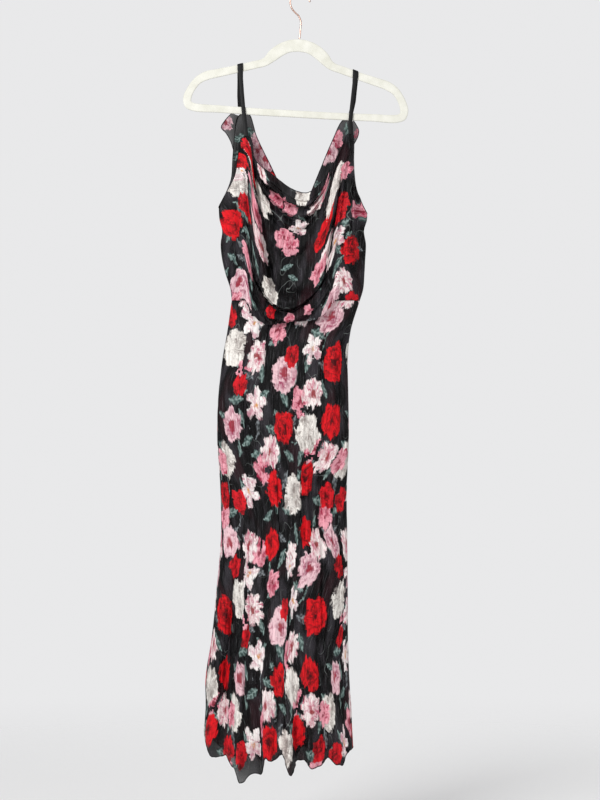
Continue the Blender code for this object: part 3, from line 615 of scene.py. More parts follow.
def end_caps(rows, sides):
    """The two faces that close a tube's ends."""
    return [list(range(sides))[::-1], list(range((rows - 1) * sides, rows * sides))]


def tube(name, path, radius, finish, sides):
    """A round tube along a path: a circle carried along it, square to its direction, with closed ends."""
    ahead = np.gradient(path, axis=0)
    ahead /= np.linalg.norm(ahead, axis=1, keepdims=True)
    side = np.cross(ahead, (0.0, 1.0, 0.0))
    side = np.where(np.linalg.norm(side, axis=1, keepdims=True) < 0.2, np.cross(ahead, (0.0, 0.0, 1.0)), side)
    side /= np.linalg.norm(side, axis=1, keepdims=True)
    upper = np.cross(side, ahead)
    angle = np.linspace(0, 2 * math.pi, sides, endpoint=False)[None, :, None]
    ring = path[:, None] + radius * (np.cos(angle) * side[:, None] + np.sin(angle) * upper[:, None])
    faces = grid_faces(len(path), sides, closed=True, flip=True)
    return mesh_object(name, ring, faces, finish, end_caps(len(path), sides))


def add_wall(piece, thickness):
    """Gives a sheet its wall, half to either side."""
    wall = piece.modifiers.new("cloth wall", "SOLIDIFY")
    wall.thickness = thickness
    wall.offset = 0.0


def leaves_of(sprays):
    """The leaves of each spray: they stand alternately left and right of its stem, and get smaller."""
    rows = []
    for across, down, length, heading, count in sprays:
        turn = math.radians(heading)
        for index in range(count):
            lean = turn + (LEAF_LEAN if index % 2 else -LEAF_LEAN) * (index < count - 1)
            stem = LEAF_STEP * length * index
            size = length * (1 - LEAF_SHRINK * index)
            middle_u = across + stem * math.cos(turn) + size * LEAF_OFFSET * math.cos(lean)
            middle_v = down + stem * math.sin(turn) + size * LEAF_OFFSET * math.sin(lean)
            rows.append((index % 3, middle_u, middle_v, size, math.degrees(lean)))
    return rows


def repeated(rows, repeat, shift):
    """The chart's rows, once for each repeat that could reach the cloth."""
    tiles = [(i, j) for j in range(-2, 4) for i in range(-2, 3)] if repeat else [(0, 0)]
    across, down = repeat or (0.0, 0.0)
    return [
        (kind, u + i * across + shift[0], v + j * down + shift[1], size, turn)
        for kind, u, v, size, turn in rows
        for i, j in tiles
    ]


def print_layer(piece, layer, u, v, faces, chart, reach, rank):
    """Says for each face which motif of the chart lies on it, and where its corners are in that motif's own
    frame: turned with the motif, and 1 at half its breadth. rank 0 is the upper motif, 1 the one under it."""
    middle_u, middle_v = u.ravel()[faces].mean(axis=1), v.ravel()[faces].mean(axis=1)
    found = np.full((2, len(faces)), -1)
    for index, (_, at_u, at_v, size, _) in enumerate(chart):
        near = np.hypot((middle_u - at_u) / SLIM, middle_v - at_v) < reach * size / 2
        found[1, near] = found[0, near]
        found[0, near] = index
    chosen = found[rank]
    kinds = np.array([row[0] for row in chart] + [0], float)
    at_u, at_v, size, turn = (np.array([row[i] for row in chart] + [1.0]) for i in (1, 2, 3, 4))
    turn = np.radians(turn)[chosen][:, None]
    across = (u.ravel()[faces] - at_u[chosen][:, None]) / (SLIM * size[chosen][:, None] / 2)
    down = (v.ravel()[faces] - at_v[chosen][:, None]) / (size[chosen][:, None] / 2)
    local = np.stack(
        [across * np.cos(turn) + down * np.sin(turn), down * np.cos(turn) - across * np.sin(turn)], axis=-1
    )
    local[chosen < 0] = NOWHERE
    uv = piece.data.uv_layers.new(name=layer + "_place", do_init=False)
    uv.data.foreach_set("uv", local.astype(np.float32).ravel())
    seeds = (chosen * SEED_STEP) % 1.0
    note = np.stack([(kinds[chosen] + 0.5) / KIND_STEPS, seeds, chosen >= 0], axis=-1)
    made = piece.data.attributes.new(layer + "_kind", "FLOAT_VECTOR", "FACE")
    made.data.foreach_set("vector", note.astype(np.float32).ravel())


def print_on(piece, u, v, faces, sheer, blooms, sprays, repeat=None, shift=(0, 0)):
    """Lays the print on a piece whose flat place in millimetres is u, v at each point. sheer says where the
    cloth is seen on its own against the light."""
    thin = piece.data.attributes.new("sheer", "FLOAT", "POINT")
    thin.data.foreach_set("value", np.broadcast_to(sheer, u.shape).astype(np.float32).ravel())
    flat = piece.data.uv_layers.new(name="flat_cloth", do_init=False)
    flat.data.foreach_set("uv", (np.stack([u, v], -1).reshape(-1, 2)[faces] * MM).astype(np.float32).ravel())
    blooms = repeated([(KIND[row[0]], *row[1:]) for row in blooms], repeat, shift)
    leaves = repeated(leaves_of(sprays), repeat, shift)
    print_layer(piece, "bloom", u, v, faces, blooms, BLOOM_REACH, 0)
    print_layer(piece, "under", u, v, faces, blooms, BLOOM_REACH, 1)
    print_layer(piece, "leaf", u, v, faces, leaves, LEAF_REACH, 0)


# -------------------------------------------------------------------------------------------- materials


def linear(hex_colour):
    """An sRGB hex colour as linear RGBA."""
    values = [int(hex_colour[i : i + 2], 16) / 255 for i in (1, 3, 5)]
    return (*(x / 12.92 if x <= 0.04045 else ((x + 0.055) / 1.055) ** 2.4 for x in values), 1.0)


# What a word after an added node's kind sets.
SETTINGS = {
    "Math": "operation",
    "VectorMath": "operation",
    "Mix": "data_type",
    "MapRange": "interpolation_type",
    "UVMap": "uv_map",
    "Attribute": "attribute_name",
}


def feed(tree, socket, source):
    """Feeds a socket from a node's first output, a socket or a value. None leaves it as it is."""
    if isinstance(source, bpy.types.Node):
        source = next(output for output in source.outputs if output.enabled)
    if isinstance(source, bpy.types.NodeSocket):
        tree.links.new(source, socket)
    elif source is not None:
        socket.default_value = source


def add(tree, kind, *inputs, **named):
    """Adds a node of this kind, with its setting after a space, and feeds its inputs in order or by name."""
    kind, _, setting = kind.partition(" ")
    node = tree.nodes.new("ShaderNode" + kind)
    if setting:
        setattr(node, SETTINGS[kind], setting)
    for socket, source in zip([socket for socket in node.inputs if socket.enabled], inputs):
        feed(tree, socket, source)
    for name, source in named.items():
        feed(tree, node.inputs[name], source)
    return node


def finish_shader(tree, shader, inputs):
    """Feeds the shader's sockets, each by its name."""
    for name, source in inputs.items():
        feed(tree, shader.inputs[name], source)


def new_material(name):
    """A material with its tree, its Principled shader and nothing else."""
    made = bpy.data.materials.new(name)
    made.use_nodes = True
    return made, made.node_tree, made.node_tree.nodes["Principled BSDF"]


def kind_ramp(tree, where, colours):
    """A ramp of flat steps, one for each kind of motif."""
    ramp = add(tree, "ValToRGB", where)
    ramp.color_ramp.interpolation = "CONSTANT"
    while len(ramp.color_ramp.elements) < len(colours):
        ramp.color_ramp.elements.new(0.5)
    for index, colour in enumerate(colours):
        ramp.color_ramp.elements[index].position = index / KIND_STEPS
        ramp.color_ramp.elements[index].color = colour
    return ramp


def draw_bloom(tree, layer, comb):
    """Nodes that paint one layer of blooms, as (colour, cover). In the motif's own frame, the distance from
    its middle is divided by an outline that has a wave for each petal. Rings of petals are the fraction of
    that distance times the number of rings, bent by a wave round the middle, and brush strokes run
    outwards as noise that changes quickly round the middle and slowly along the radius."""
    note = add(tree, f"Attribute {layer}_kind").outputs["Vector"]
    kind, seed, real = add(tree, "SeparateXYZ", note).outputs
    place = add(tree, f"UVMap {layer}_place")
    lift = add(tree, "Math MULTIPLY", seed, 37.0)
    base = add(tree, "CombineXYZ", comb, 0.0, lift)
    place = add(tree, "VectorMath ADD", place, base)
    wobble = add(tree, "TexNoise", place, Scale=2.1, Detail=4.0, Roughness=0.62)
    wobble = add(tree, "VectorMath SUBTRACT", wobble.outputs["Color"], (0.5, 0.5, 0.5))
    wobble = add(tree, "VectorMath SCALE", wobble, Scale=0.85)
    wobble = add(tree, "VectorMath MULTIPLY", wobble, (1.0, 1.0, 0.0))
    flat = add(tree, "VectorMath MULTIPLY", place, (1.0, 1.0, 0.0))
    moved = add(tree, "VectorMath ADD", flat, wobble)
    away = add(tree, "VectorMath LENGTH", moved)
    sides = add(tree, "SeparateXYZ", moved)
    turn = add(tree, "Math ARCTAN2", sides.outputs["Y"], sides.outputs["X"])

    form = kind_ramp(tree, kind, [(row[4] / 10, row[5], row[6] / 5, 1.0) for row in KINDS])
    form = add(tree, "SeparateXYZ", form)
    petals = add(tree, "Math MULTIPLY", form.outputs["X"], 5.0)
    spin = add(tree, "Math MULTIPLY_ADD", turn, petals, lift)
    wave = add(tree, "Math SINE", spin)
    wave = add(tree, "Math ABSOLUTE", wave)
    wave = add(tree, "Math POWER", wave, 0.65)
    gap = add(tree, "Math SUBTRACT", 1.0, wave)
    cut = add(tree, "Math MULTIPLY", gap, form.outputs["Y"])
    outline = add(tree, "Math SUBTRACT", 1.0, cut)
    share = add(tree, "Math DIVIDE", away, outline)
    cover = add(tree, "MapRange", share, 0.94, 0.88, 0.0, 1.0)
    cover = add(tree, "Math MULTIPLY", cover, real)

    round_it = add(tree, "VectorMath NORMALIZE", moved)
    round_it = add(tree, "VectorMath SCALE", round_it, Scale=3.2)
    depth = add(tree, "Math MULTIPLY_ADD", share, 1.1, lift)
    depth = add(tree, "CombineXYZ", 0.0, 0.0, depth)
    strokes = add(tree, "VectorMath ADD", round_it, depth)
    strokes = add(tree, "TexNoise", strokes, Scale=1.9, Detail=3.0, Roughness=0.6)
    strokes = add(tree, "MapRange", strokes, 0.36, 0.64, 0.0, 1.0)

    bend = add(tree, "Math MULTIPLY", share, 6.0)
    bend = add(tree, "Math MULTIPLY_ADD", turn, 3.0, bend)
    bend = add(tree, "Math SINE", bend)
    rings = add(tree, "Math MULTIPLY", form.outputs["Z"], 5.0)
    rows = add(tree, "Math MULTIPLY", share, rings)
    rows = add(tree, "Math MULTIPLY_ADD", bend, 0.28, rows)
    patch = add(tree, "TexNoise", place, Scale=3.4, Detail=2.0)
    rows = add(tree, "Math ADD", rows, patch)
    rows = add(tree, "Math FRACT", rows)

    blend = kind_ramp(tree, kind, [(row[8], row[7], 0.0, 1.0) for row in KINDS])
    blend = add(tree, "SeparateXYZ", blend)
    tone = add(tree, "Mix FLOAT", blend.outputs["X"], rows, strokes)
    tone = add(tree, "Math MULTIPLY_ADD", share, 0.25, tone)
    cloud = add(tree, "TexNoise", place, Scale=1.2, Detail=1.0)
    tone = add(tree, "Math MULTIPLY_ADD", cloud, 1.3, tone)
    tone = add(tree, "MapRange", tone, 0.88, 1.46, 0.0, 1.0)
    dark = kind_ramp(tree, kind, [linear(row[2]) for row in KINDS])
    light = kind_ramp(tree, kind, [linear(row[1]) for row in KINDS])
    colour = add(tree, "Mix RGBA", tone, dark, light)
    middle = add(tree, "Math SUBTRACT", blend.outputs["Y"], share)
    middle = add(tree, "Math MULTIPLY_ADD", patch, 0.3, middle)
    middle = add(tree, "MapRange", middle, 0.10, 0.24, 0.0, 0.9)
    heart = kind_ramp(tree, kind, [linear(row[3]) for row in KINDS])
    return add(tree, "Mix RGBA", middle, colour, heart), cover


def draw_leaf(tree, comb):
    """Nodes that paint the leaves, as (colour, cover): a pointed oval, with a pale midrib and fine veins."""
    note = add(tree, "SeparateXYZ", add(tree, "Attribute leaf_kind").outputs["Vector"])
    shift = add(tree, "CombineXYZ", 0.0, comb)
    place = add(tree, "VectorMath ADD", add(tree, "UVMap leaf_place"), shift)
    wobble = add(tree, "TexNoise", place, Scale=1.4, Detail=2.0)
    wobble = add(tree, "VectorMath SUBTRACT", wobble.outputs["Color"], (0.5, 0.5, 0.5))
    wobble = add(tree, "VectorMath SCALE", wobble, Scale=0.4)
    sides = add(tree, "SeparateXYZ", add(tree, "VectorMath ADD", place, wobble))
    long_way = add(tree, "Math MULTIPLY", sides.outputs["X"], sides.outputs["X"])
    width = add(tree, "Math SUBTRACT", 0.92, long_way)
    width = add(tree, "Math MULTIPLY", width, 0.40)
    away = add(tree, "Math ABSOLUTE", sides.outputs["Y"])
    inside = add(tree, "Math SUBTRACT", width, away)
    cover = add(tree, "MapRange", inside, 0.0, 0.05, 0.0, 0.92)
    cover = add(tree, "Math MULTIPLY", cover, note.outputs["Z"])
    veins = add(tree, "Math MULTIPLY", sides.outputs["X"], -13.0)
    veins = add(tree, "Math MULTIPLY_ADD", away, 16.0, veins)
    veins = add(tree, "Math SINE", veins)
    patch = add(tree, "TexNoise", place, Scale=2.6, Detail=3.0)
    tone = add(tree, "Math MULTIPLY_ADD", veins, 0.16, patch)
    rib = add(tree, "MapRange", away, 0.07, 0.02, 0.0, 0.5)
    tone = add(tree, "Math ADD", tone, rib)
    tone = add(tree, "MapRange", tone, 0.35, 0.95, 0.0, 1.0)
    fresh = add(tree, "Mix RGBA", tone, linear("#2b423f"), linear("#9ab0ab"))
    dim = add(tree, "Mix RGBA", tone, linear("#2d2f31"), linear("#90969a"))
    which = add(tree, "Math GREATER_THAN", note.outputs["X"], 0.25)
    return add(tree, "Mix RGBA", which, fresh, dim), cover


def chiffon_material():
    """Crinkled silk chiffon, printed by screen and gathered by hand: dull, slightly sheer, with a fine crepe
    grain. The black ground has smoky patches and thin pale tendrils."""
    made, tree, shader = new_material("crinkled_silk_chiffon_print")
    sizes = bpy.context.scene.maxi_dress
    flat = add(tree, "UVMap flat_cloth")
    # Pleats 3 mm apart break the painted edges into steps, as they take up cloth unevenly.
    pleats = add(tree, "Mapping", flat, None, None, (330.0, 22.0, 1.0))
    pleats = add(tree, "TexNoise", pleats, Scale=1.0, Detail=2.0, Roughness=0.7)
    comb = add(tree, "MapRange", pleats, 0.3, 0.7, -0.11, 0.11)

    # The smoky patches are about 40 mm wide and 90 mm long, and the reddish ones 60 mm and 125 mm.
    smoke = add(tree, "Mapping", flat, None, None, (24.0, 11.0, 1.0))
    smoke = add(tree, "TexNoise", smoke, Scale=1.0, Detail=2.0)
    blush = add(tree, "Mapping", flat, (3.0, 5.0, 0.0), None, (17.0, 8.0, 1.0))
    blush = add(tree, "TexNoise", blush, Scale=1.0, Detail=1.0)
    grey = add(tree, "MapRange", smoke, 0.5, 0.62, 0.0, 1.0)
    colour = add(tree, "Mix RGBA", grey, sizes.ground_colour, linear("#322f34"))
    warm = add(tree, "MapRange", blush, 0.57, 0.66, 0.0, 0.8)
    colour = add(tree, "Mix RGBA", warm, colour, linear("#2c151b"))
    # Tendrils are where slow noise crosses its middle value, which is a thin wandering line.
    lines = add(tree, "Mapping", flat, (1.0, 2.0, 0.0), None, (26.0, 20.0, 1.0))
    lines = add(tree, "TexNoise", lines, Scale=1.0, Detail=1.0)
    lines = add(tree, "Math SUBTRACT", lines, 0.5)
    lines = add(tree, "Math ABSOLUTE", lines)
    lines = add(tree, "MapRange", lines, 0.008, 0.003, 0.0, 1.0)
    sparse = add(tree, "MapRange", blush, 0.45, 0.38, 0.0, 0.75)
    lines = add(tree, "Math MULTIPLY", lines, sparse)
    colour = add(tree, "Mix RGBA", lines, colour, linear("#747b78"))

    # Painted highlights: short grey strokes in the colour stand in for the light that the crests of the
    # finest pleats catch.
    glint = add(tree, "Mapping", flat, (7.0, 1.0, 0.0), None, (420.0, 30.0, 1.0))
    glint = add(tree, "TexNoise", glint, Scale=1.0, Detail=2.0)
    glint = add(tree, "MapRange", glint, 0.58, 0.74, 0.0, 0.42)
    colour = add(tree, "Mix RGBA", glint, colour, linear("#6d6c70"))
    leaf, leaf_cover = draw_leaf(tree, comb)
    under, under_cover = draw_bloom(tree, "under", comb)
    bloom, bloom_cover = draw_bloom(tree, "bloom", comb)
    painted = lines
    for layer, cover in ((leaf, leaf_cover), (under, under_cover), (bloom, bloom_cover)):
        colour = add(tree, "Mix RGBA", cover, colour, layer)
        painted = add(tree, "Math MAXIMUM", painted, cover)
    # Painted shade and light: the colour is darker in the hollows of the 3 mm pleats and brighter on their
    # crests.
    shade = add(tree, "MapRange", pleats, 0.28, 0.72, 0.62, 1.14)
    colour = add(tree, "VectorMath SCALE", colour, Scale=shade)
    # Bare cloth lets more light through than printed cloth, and most where it hangs free and single.
    thin = add(tree, "Attribute sheer").outputs["Fac"]
    bare = add(tree, "MapRange", thin, 0.0, 1.0, 0.88, 0.50)
    inked = add(tree, "MapRange", thin, 0.0, 1.0, 0.97, 0.80)
    cover = add(tree, "Mix FLOAT", painted, bare, inked)

    # The crepe grain is 0.7 mm wide and 1.4 mm long, which is coarser than the real one, so that it shows.
    grain = add(tree, "Mapping", flat, None, None, (1400.0, 700.0, 1.0))
    grain = add(tree, "TexNoise", grain, Scale=1.0, Detail=2.0)
    height = add(tree, "Math MULTIPLY_ADD", grain, 0.25, pleats)
    bump = add(tree, "Bump", Strength=0.55, Distance=0.0012, Height=height)
    looks = {"Base Color": colour, "Alpha": cover, "Normal": bump}
    finish_shader(tree, shader, {**looks, "Roughness": 0.62, "Specular IOR Level": 0.16})
    return made


def satin_material():
    """Black satin ribbon: woven, so it has a soft sheen along its fine ribs."""
    made, tree, shader = new_material("black_satin_ribbon")
    place = add(tree, "TexCoord").outputs["Object"]
    # The ribs are 1.1 mm apart, which is coarser than the real weave, so that they show.
    ribs = add(tree, "Mapping", place, None, None, (900.0, 900.0, 260.0))
    ribs = add(tree, "TexNoise", ribs, Scale=1.0, Detail=2.0)
    colour = add(tree, "Mix RGBA", ribs, linear("#020203"), bpy.context.scene.maxi_dress.ribbon_colour)
    bump = add(tree, "Bump", Strength=0.4, Distance=0.0004, Height=ribs)
    looks = {"Base Color": colour, "Normal": bump, "Roughness": 0.5, "Specular IOR Level": 0.22}
    finish_shader(tree, shader, looks)
    return made


def velvet_material():
    """Ivory nylon flock on a moulded core: soft and matt, paler at the edges, with a faint nap."""
    made, tree, shader = new_material("ivory_nylon_flock")
    place = add(tree, "TexCoord").outputs["Object"]
    # The nap is 0.6 mm across, which is coarser than the real fibres, and its shading 22 mm.
    cloud = add(tree, "TexNoise", place, Scale=45.0, Detail=3.0)
    nap = add(tree, "TexNoise", place, Scale=1600.0, Detail=2.0)
    tone = add(tree, "Math MULTIPLY_ADD", nap, 0.5, cloud)
    tone = add(tree, "MapRange", tone, 0.5, 1.0, 0.0, 1.0)
    colour = add(tree, "Mix RGBA", tone, linear("#d3d2c6"), bpy.context.scene.maxi_dress.flock_colour)
    bump = add(tree, "Bump", Strength=0.35, Distance=0.0005, Height=nap)
    nap_looks = {"Sheen Weight": 0.25, "Sheen Roughness": 0.5, "Roughness": 0.95, "Specular IOR Level": 0.2}
    finish_shader(tree, shader, {"Base Color": colour, "Normal": bump, **nap_looks})
    return made


def copper_material():
    """Rose-gold plated steel wire: drawn and polished, with faint marks along it."""
    made, tree, shader = new_material("rose_gold_plated_wire")
    place = add(tree, "TexCoord").outputs["Object"]
    # The marks are 4.5 mm across and 25 mm down.
    marks = add(tree, "Mapping", place, None, None, (220.0, 220.0, 40.0))
    marks = add(tree, "TexNoise", marks, Scale=1.0, Detail=2.0)
    rough = add(tree, "MapRange", marks, 0.3, 0.7, 0.26, 0.38)
    colour = add(tree, "Mix RGBA", marks, linear("#c7a597"), bpy.context.scene.maxi_dress.wire_colour)
    finish_shader(tree, shader, {"Base Color": colour, "Roughness": rough, "Metallic": 1.0})
    return made


def material(name, make):
    """The material of this name, made once."""
    return bpy.data.materials.get(name) or make()


# ---------------------------------------------------------------------------------------------- settings


def colour_setting(name, what, hex_colour):
    """A colour that a user would change, whose default is an sRGB hex value."""
    return bpy.props.FloatVectorProperty(
        name=name, description=what, subtype="COLOR", size=4, min=0.0, max=1.0, default=linear(hex_colour)
    )


class MaxiDressSettings(bpy.types.PropertyGroup):
    """The sizes and colours that a user would change."""

    wall: bpy.props.FloatProperty(
        name="Cloth", description="Thickness of the chiffon", default=0.00045, unit="LENGTH"
    )
    crinkle_depth: bpy.props.FloatProperty(
        name="Crinkle", description="Half the height of the fine pleats", default=0.0016, unit="LENGTH"
    )
    crinkle_pitch: bpy.props.FloatProperty(
        name="Pleat pitch", description="From one fine pleat to the next", default=0.010, unit="LENGTH"
    )
    skirt_fullness: bpy.props.FloatProperty(
        name="Skirt fullness", description="Flat width of the skirt over its hanging width", default=1.5
    )
    bodice_fullness: bpy.props.FloatProperty(
        name="Bodice fullness", description="Flat width of the bodice over its hanging width", default=1.2
    )
    edge_radius: bpy.props.FloatProperty(
        name="Rolled edge", description="Radius of the rolled hems", default=0.0009, unit="LENGTH"
    )
    ground_colour: colour_setting("Ground", "The dark ground between the blooms", "#070608")
    ribbon_colour: colour_setting("Ribbon", "The brighter ribs of the satin straps", "#0a0a0c")
    flock_colour: colour_setting("Flock", "The paler parts of the hanger's flock", "#e6e5dc")
    wire_colour: colour_setting("Wire", "The brighter marks of the hook's plating", "#d9b9ab")


def chiffon():
    """The dress's cloth, made once."""
    return material("crinkled_silk_chiffon_print", chiffon_material)


def crinkled(points, facing, u, v, fullness, fade, seed):
    """A panel with its fine pleats: each point moves along its normal by the crinkle, which fade damps."""
    sizes = bpy.context.scene.maxi_dress
    pitch, depth = sizes.crinkle_pitch / MM, sizes.crinkle_depth / MM
    lift = depth * crinkle(u / fullness, v, pitch, seed) * fade
    return points + normals(points, facing) * lift[..., None]


def printed_cloth(name, node, points, u, v, flip, sheer, *chart):
    """A piece of chiffon with its print and its wall. It stands for a CAD node, or for none."""
    faces = grid_faces(*points.shape[:2], flip=flip)
    cloth = mesh_object(name, points, faces, chiffon())
    print_on(cloth, u, v, faces, sheer, *chart)
    add_wall(cloth, bpy.context.scene.maxi_dress.wall)
    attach(cloth, BODY)
    if node:
        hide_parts(node)
    return cloth


def skirt_panel(name, node, facing, hem, folds, creases, seed, shift):
    """A skirt panel with its print, and its rolled hem."""
    fullness = bpy.context.scene.maxi_dress.skirt_fullness
    around, down = np.linspace(-1, 1, PANEL_AROUND), np.linspace(0, 1, PANEL_DOWN)
    points, hidden = skirt_surface(around, down, facing, hem, folds, creases)
    smooth, _ = skirt_surface(around, down, facing, hem, (), ())
    u = running(smooth, 1) * fullness + hidden
    u = u - u[:, MIDDLE_COLUMN]
    v = running(smooth, 0)
    fade = hollow(around)[None] ** 0.5 * smooth_step(down / SKIRT_RISE)[:, None]
    points = crinkled(points, facing, u, v, fullness, fade, seed)
    free = smooth_step((v - v[-1:] + HEM_SHEER) / HEM_SHEER)
    flute = np.exp(-(((around[None] - SHEER_FLUTE) / FLUTE_REACH) ** 2))
    sheer = free * (HEM_LIGHT + FLUTE_LIGHT * flute)
    panel = printed_cloth(name, node, points, u, v, facing > 0, sheer, BLOOMS, SPRAYS, REPEAT, shift)
    return panel, rolled_edge(name + "_hem", points[-1], u[-1], v[-1])


def rolled_edge(name, path, u, v):
    """A narrow rolled hem along an edge of a panel, in the dark ground of the cloth it is rolled from."""
    radius = bpy.context.scene.maxi_dress.edge_radius / MM
    edge = tube(name, path, radius, chiffon(), EDGE_SIDES)
    faces = grid_faces(len(path), EDGE_SIDES, closed=True, flip=True)
    corners = np.concatenate([faces.ravel(), *end_caps(len(path), EDGE_SIDES)])
    place = np.repeat(np.stack([u, v], -1), EDGE_SIDES, axis=0)[corners] * MM
    flat = edge.data.uv_layers.new(name="flat_cloth", do_init=False)
    flat.data.foreach_set("uv", place.astype(np.float32).ravel())
    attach(edge, BODY)
    return edge


class MAXIDRESS_OT_skirt(bpy.types.Operator):
    """Adds the front and back skirt panels with their rolled hems"""

    bl_idname = "maxi_dress.skirt"
    bl_label = "Skirt"

    def execute(self, context):
        front, hem = skirt_panel(
            "skirt_front_cloth", "skirt_front", -1, FRONT_HEM, FRONT_FOLDS, FRONT_CREASES, 11, (0, 0)
        )
        back, hem = skirt_panel(
            "skirt_back_cloth", "skirt_back", 1, BACK_HEM, BACK_FOLDS, BACK_CREASES, 23, (130, 210)
        )
        return {"FINISHED"}


def bodice_print_place(smooth, hidden, folded, fullness):
    """Where each point of a bodice panel is on the flat cloth, as (across, down) in millimetres from the
    middle of the waist seam: the way along the smooth panel, and a part of what the creases hide."""
    u = running(smooth * (1, SIDE_SHARE, 1), 1, (0, 1)) * fullness + hidden * HIDDEN_SHARE
    v = running(smooth, 0) + folded * HIDDEN_SHARE
    return u - u[:, MIDDLE_COLUMN], v - v[-1:]


def bodice_panel(name, node, facing, edge, fall, depth, creases, swags, seed, blooms, sprays):
    """A bodice panel with its print, and its bound upper edge."""
    fullness = bpy.context.scene.maxi_dress.bodice_fullness
    around, down = np.linspace(-1, 1, PANEL_AROUND), np.linspace(0, 1, PANEL_DOWN)
    points, hidden, folded = bodice_surface(around, down, facing, edge, fall, depth, creases, swags)
    smooth, _, _ = bodice_surface(around, down, facing, edge, fall, depth, (), ())
    u, v = bodice_print_place(smooth, hidden, folded, fullness)
    fade = hollow(around)[None] ** 0.5 * smooth_step((1 - down) / BODICE_RISE)[:, None]
    points = crinkled(points, facing, u, v, fullness, fade, seed)
    near_peak = smooth_step((PEAK_SHEER - v + v[:1]) / PEAK_SHEER)
    sheer = PEAK_LIGHT * near_peak * smooth_step((abs(u) - PEAK_INNER) / PEAK_FADE) * (facing > 0)
    panel = printed_cloth(name, node, points, u, v, facing > 0, sheer, blooms, sprays)
    return panel, rolled_edge(name + "_edge", points[0], u[0], v[0])


class MAXIDRESS_OT_bodice(bpy.types.Operator):
    """Adds the cowl front and the V back with their bound edges"""

    bl_idname = "maxi_dress.bodice"
    bl_label = "Bodice"

    def execute(self, context):
        front, edge = bodice_panel(
            "bodice_front_cloth", "bodice_front", -1, FRONT_EDGE, FRONT_FALL, FRONT_DEPTH,
            FRONT_BODICE_CREASES, SWAGS, 31, BODICE_BLOOMS, BODICE_SPRAYS,
        )
        back, edge = bodice_panel(
            "bodice_back_cloth", "bodice_back", 1, BACK_EDGE, BACK_FALL, BACK_DEPTH,
            BACK_BODICE_CREASES, (), 47, BACK_BLOOMS, BACK_SPRAYS,
        )
        return {"FINISHED"}


def strap_path(front, back, arm):
    """The ribbon's middle line as rows of across, out, drop and width: up the front, over the hanger's arm
    in a half circle and down the back."""
    front, back = np.array(front, float), np.array(back, float)
    top = (front[-1, 0] + back[0, 0]) / 2
    radius = (back[0, 1] - front[-1, 1]) / 2
    angle = np.linspace(math.pi, 0, ARC_ROWS + 2)
    arc = np.stack(
        [
            np.full(len(angle), top),
            radius * np.cos(angle),
            -arm - ARM_GAP + radius * (1 - np.sin(angle)),
            np.full(len(angle), front[-1, 3]),
        ],
        axis=-1,
    )
    return np.concatenate([front, arc, back])


def on_hanger(across, up):
    """A point of the hanger's own plane, tilted and put in place."""
    cos, sin = math.cos(HANGER_TILT), math.sin(HANGER_TILT)
    return HANGER_TOP[0] + across * cos + up * sin, HANGER_TOP[1] - across * sin + up * cos


def arm_top(across):
    """The height of the top edge of the hanger's arm at a place across."""
    arm = HANGER_OUTER[HANGER_ARM]
    x, z = on_hanger(column(arm, 1) * (1 if across > 0 else -1), column(arm, 2))
    order = np.argsort(x)
    return float(np.interp(across, x[order], z[order]))


def ribbon(name, node, front, back):
    """A satin ribbon along its path: a smooth curve through the path's rows, as wide as they say, and level
    across except where it lies along the arm's slope. It is a little crowned across."""
    top = (front[-1][0] + back[0][0]) / 2
    rise = arm_top(top + SLOPE_REACH) - arm_top(top - SLOPE_REACH)
    slope = math.atan2(rise, 2 * SLOPE_REACH)
    rows = strap_path(front, back, arm_top(top))
    length = np.concatenate([[0], np.cumsum(np.linalg.norm(np.diff(rows[:, :3], axis=0), axis=1))])
    at = np.linspace(0, length[-1], RIBBON_ALONG)
    across, out, drop, width = (np.interp(at, length, rows[:, index]) for index in range(4))
    for curve in (across, out, drop, width):
        curve[1:-1] = (curve[:-2] + 2 * curve[1:-1] + curve[2:]) / 4
    lean = slope * smooth_step((drop.min() + LEAN_REACH - drop) / LEAN_FADE)
    side = np.linspace(-1, 1, RIBBON_ACROSS)
    x = across[:, None] + side * (width * np.cos(lean) / 2)[:, None]
    z = -drop[:, None] + side * (width * np.sin(lean) / 2)[:, None]
    crown = np.sign(out)[:, None] * RIBBON_CROWN * (1 - side**2)
    points = np.stack([x, out[:, None] + crown, z], axis=-1)
    satin = material("black_satin_ribbon", satin_material)
    made = mesh_object(name, points, grid_faces(RIBBON_ALONG, RIBBON_ACROSS), satin)
    add_wall(made, RIBBON_WALL)
    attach(made, BODY)
    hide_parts(node)


class MAXIDRESS_OT_straps(bpy.types.Operator):
    """Adds the two ribbon straps, which go over the hanger's arms"""

    bl_idname = "maxi_dress.straps"
    bl_label = "Straps"

    def execute(self, context):
        ribbon("strap_left_ribbon", "strap_left", LEFT_STRAP, LEFT_STRAP_BACK)
        ribbon("strap_right_ribbon", "strap_right", RIGHT_STRAP, RIGHT_STRAP_BACK)
        return {"FINISHED"}


def flap_surface(inner, outer):
    """A flap: straight lines across from its inner line to its outer one, which billows in the middle and
    waves as a sine that grows towards the free edge."""
    along, over = np.linspace(0, 1, FLAP_ALONG), np.linspace(0, 1, FLAP_ACROSS)
    inner, outer = (
        np.stack([through(np.linspace(0, 1, len(line)), column(line, i), along) for i in range(3)], -1)
        for line in (inner, outer)
    )
    share = over[None, :, None]
    points = inner[:, None] * (1 - share) + outer[:, None] * share
    wave = FLAP_WAVE * np.sin(2 * math.pi * (1.5 * along[:, None] + 0.8 * over)) * over
    points[..., 1] += wave + FLAP_BILLOW * np.sin(math.pi * over)
    return points, np.broadcast_to(SHEER_SEAM + SHEER_FREE * over, points.shape[:2])


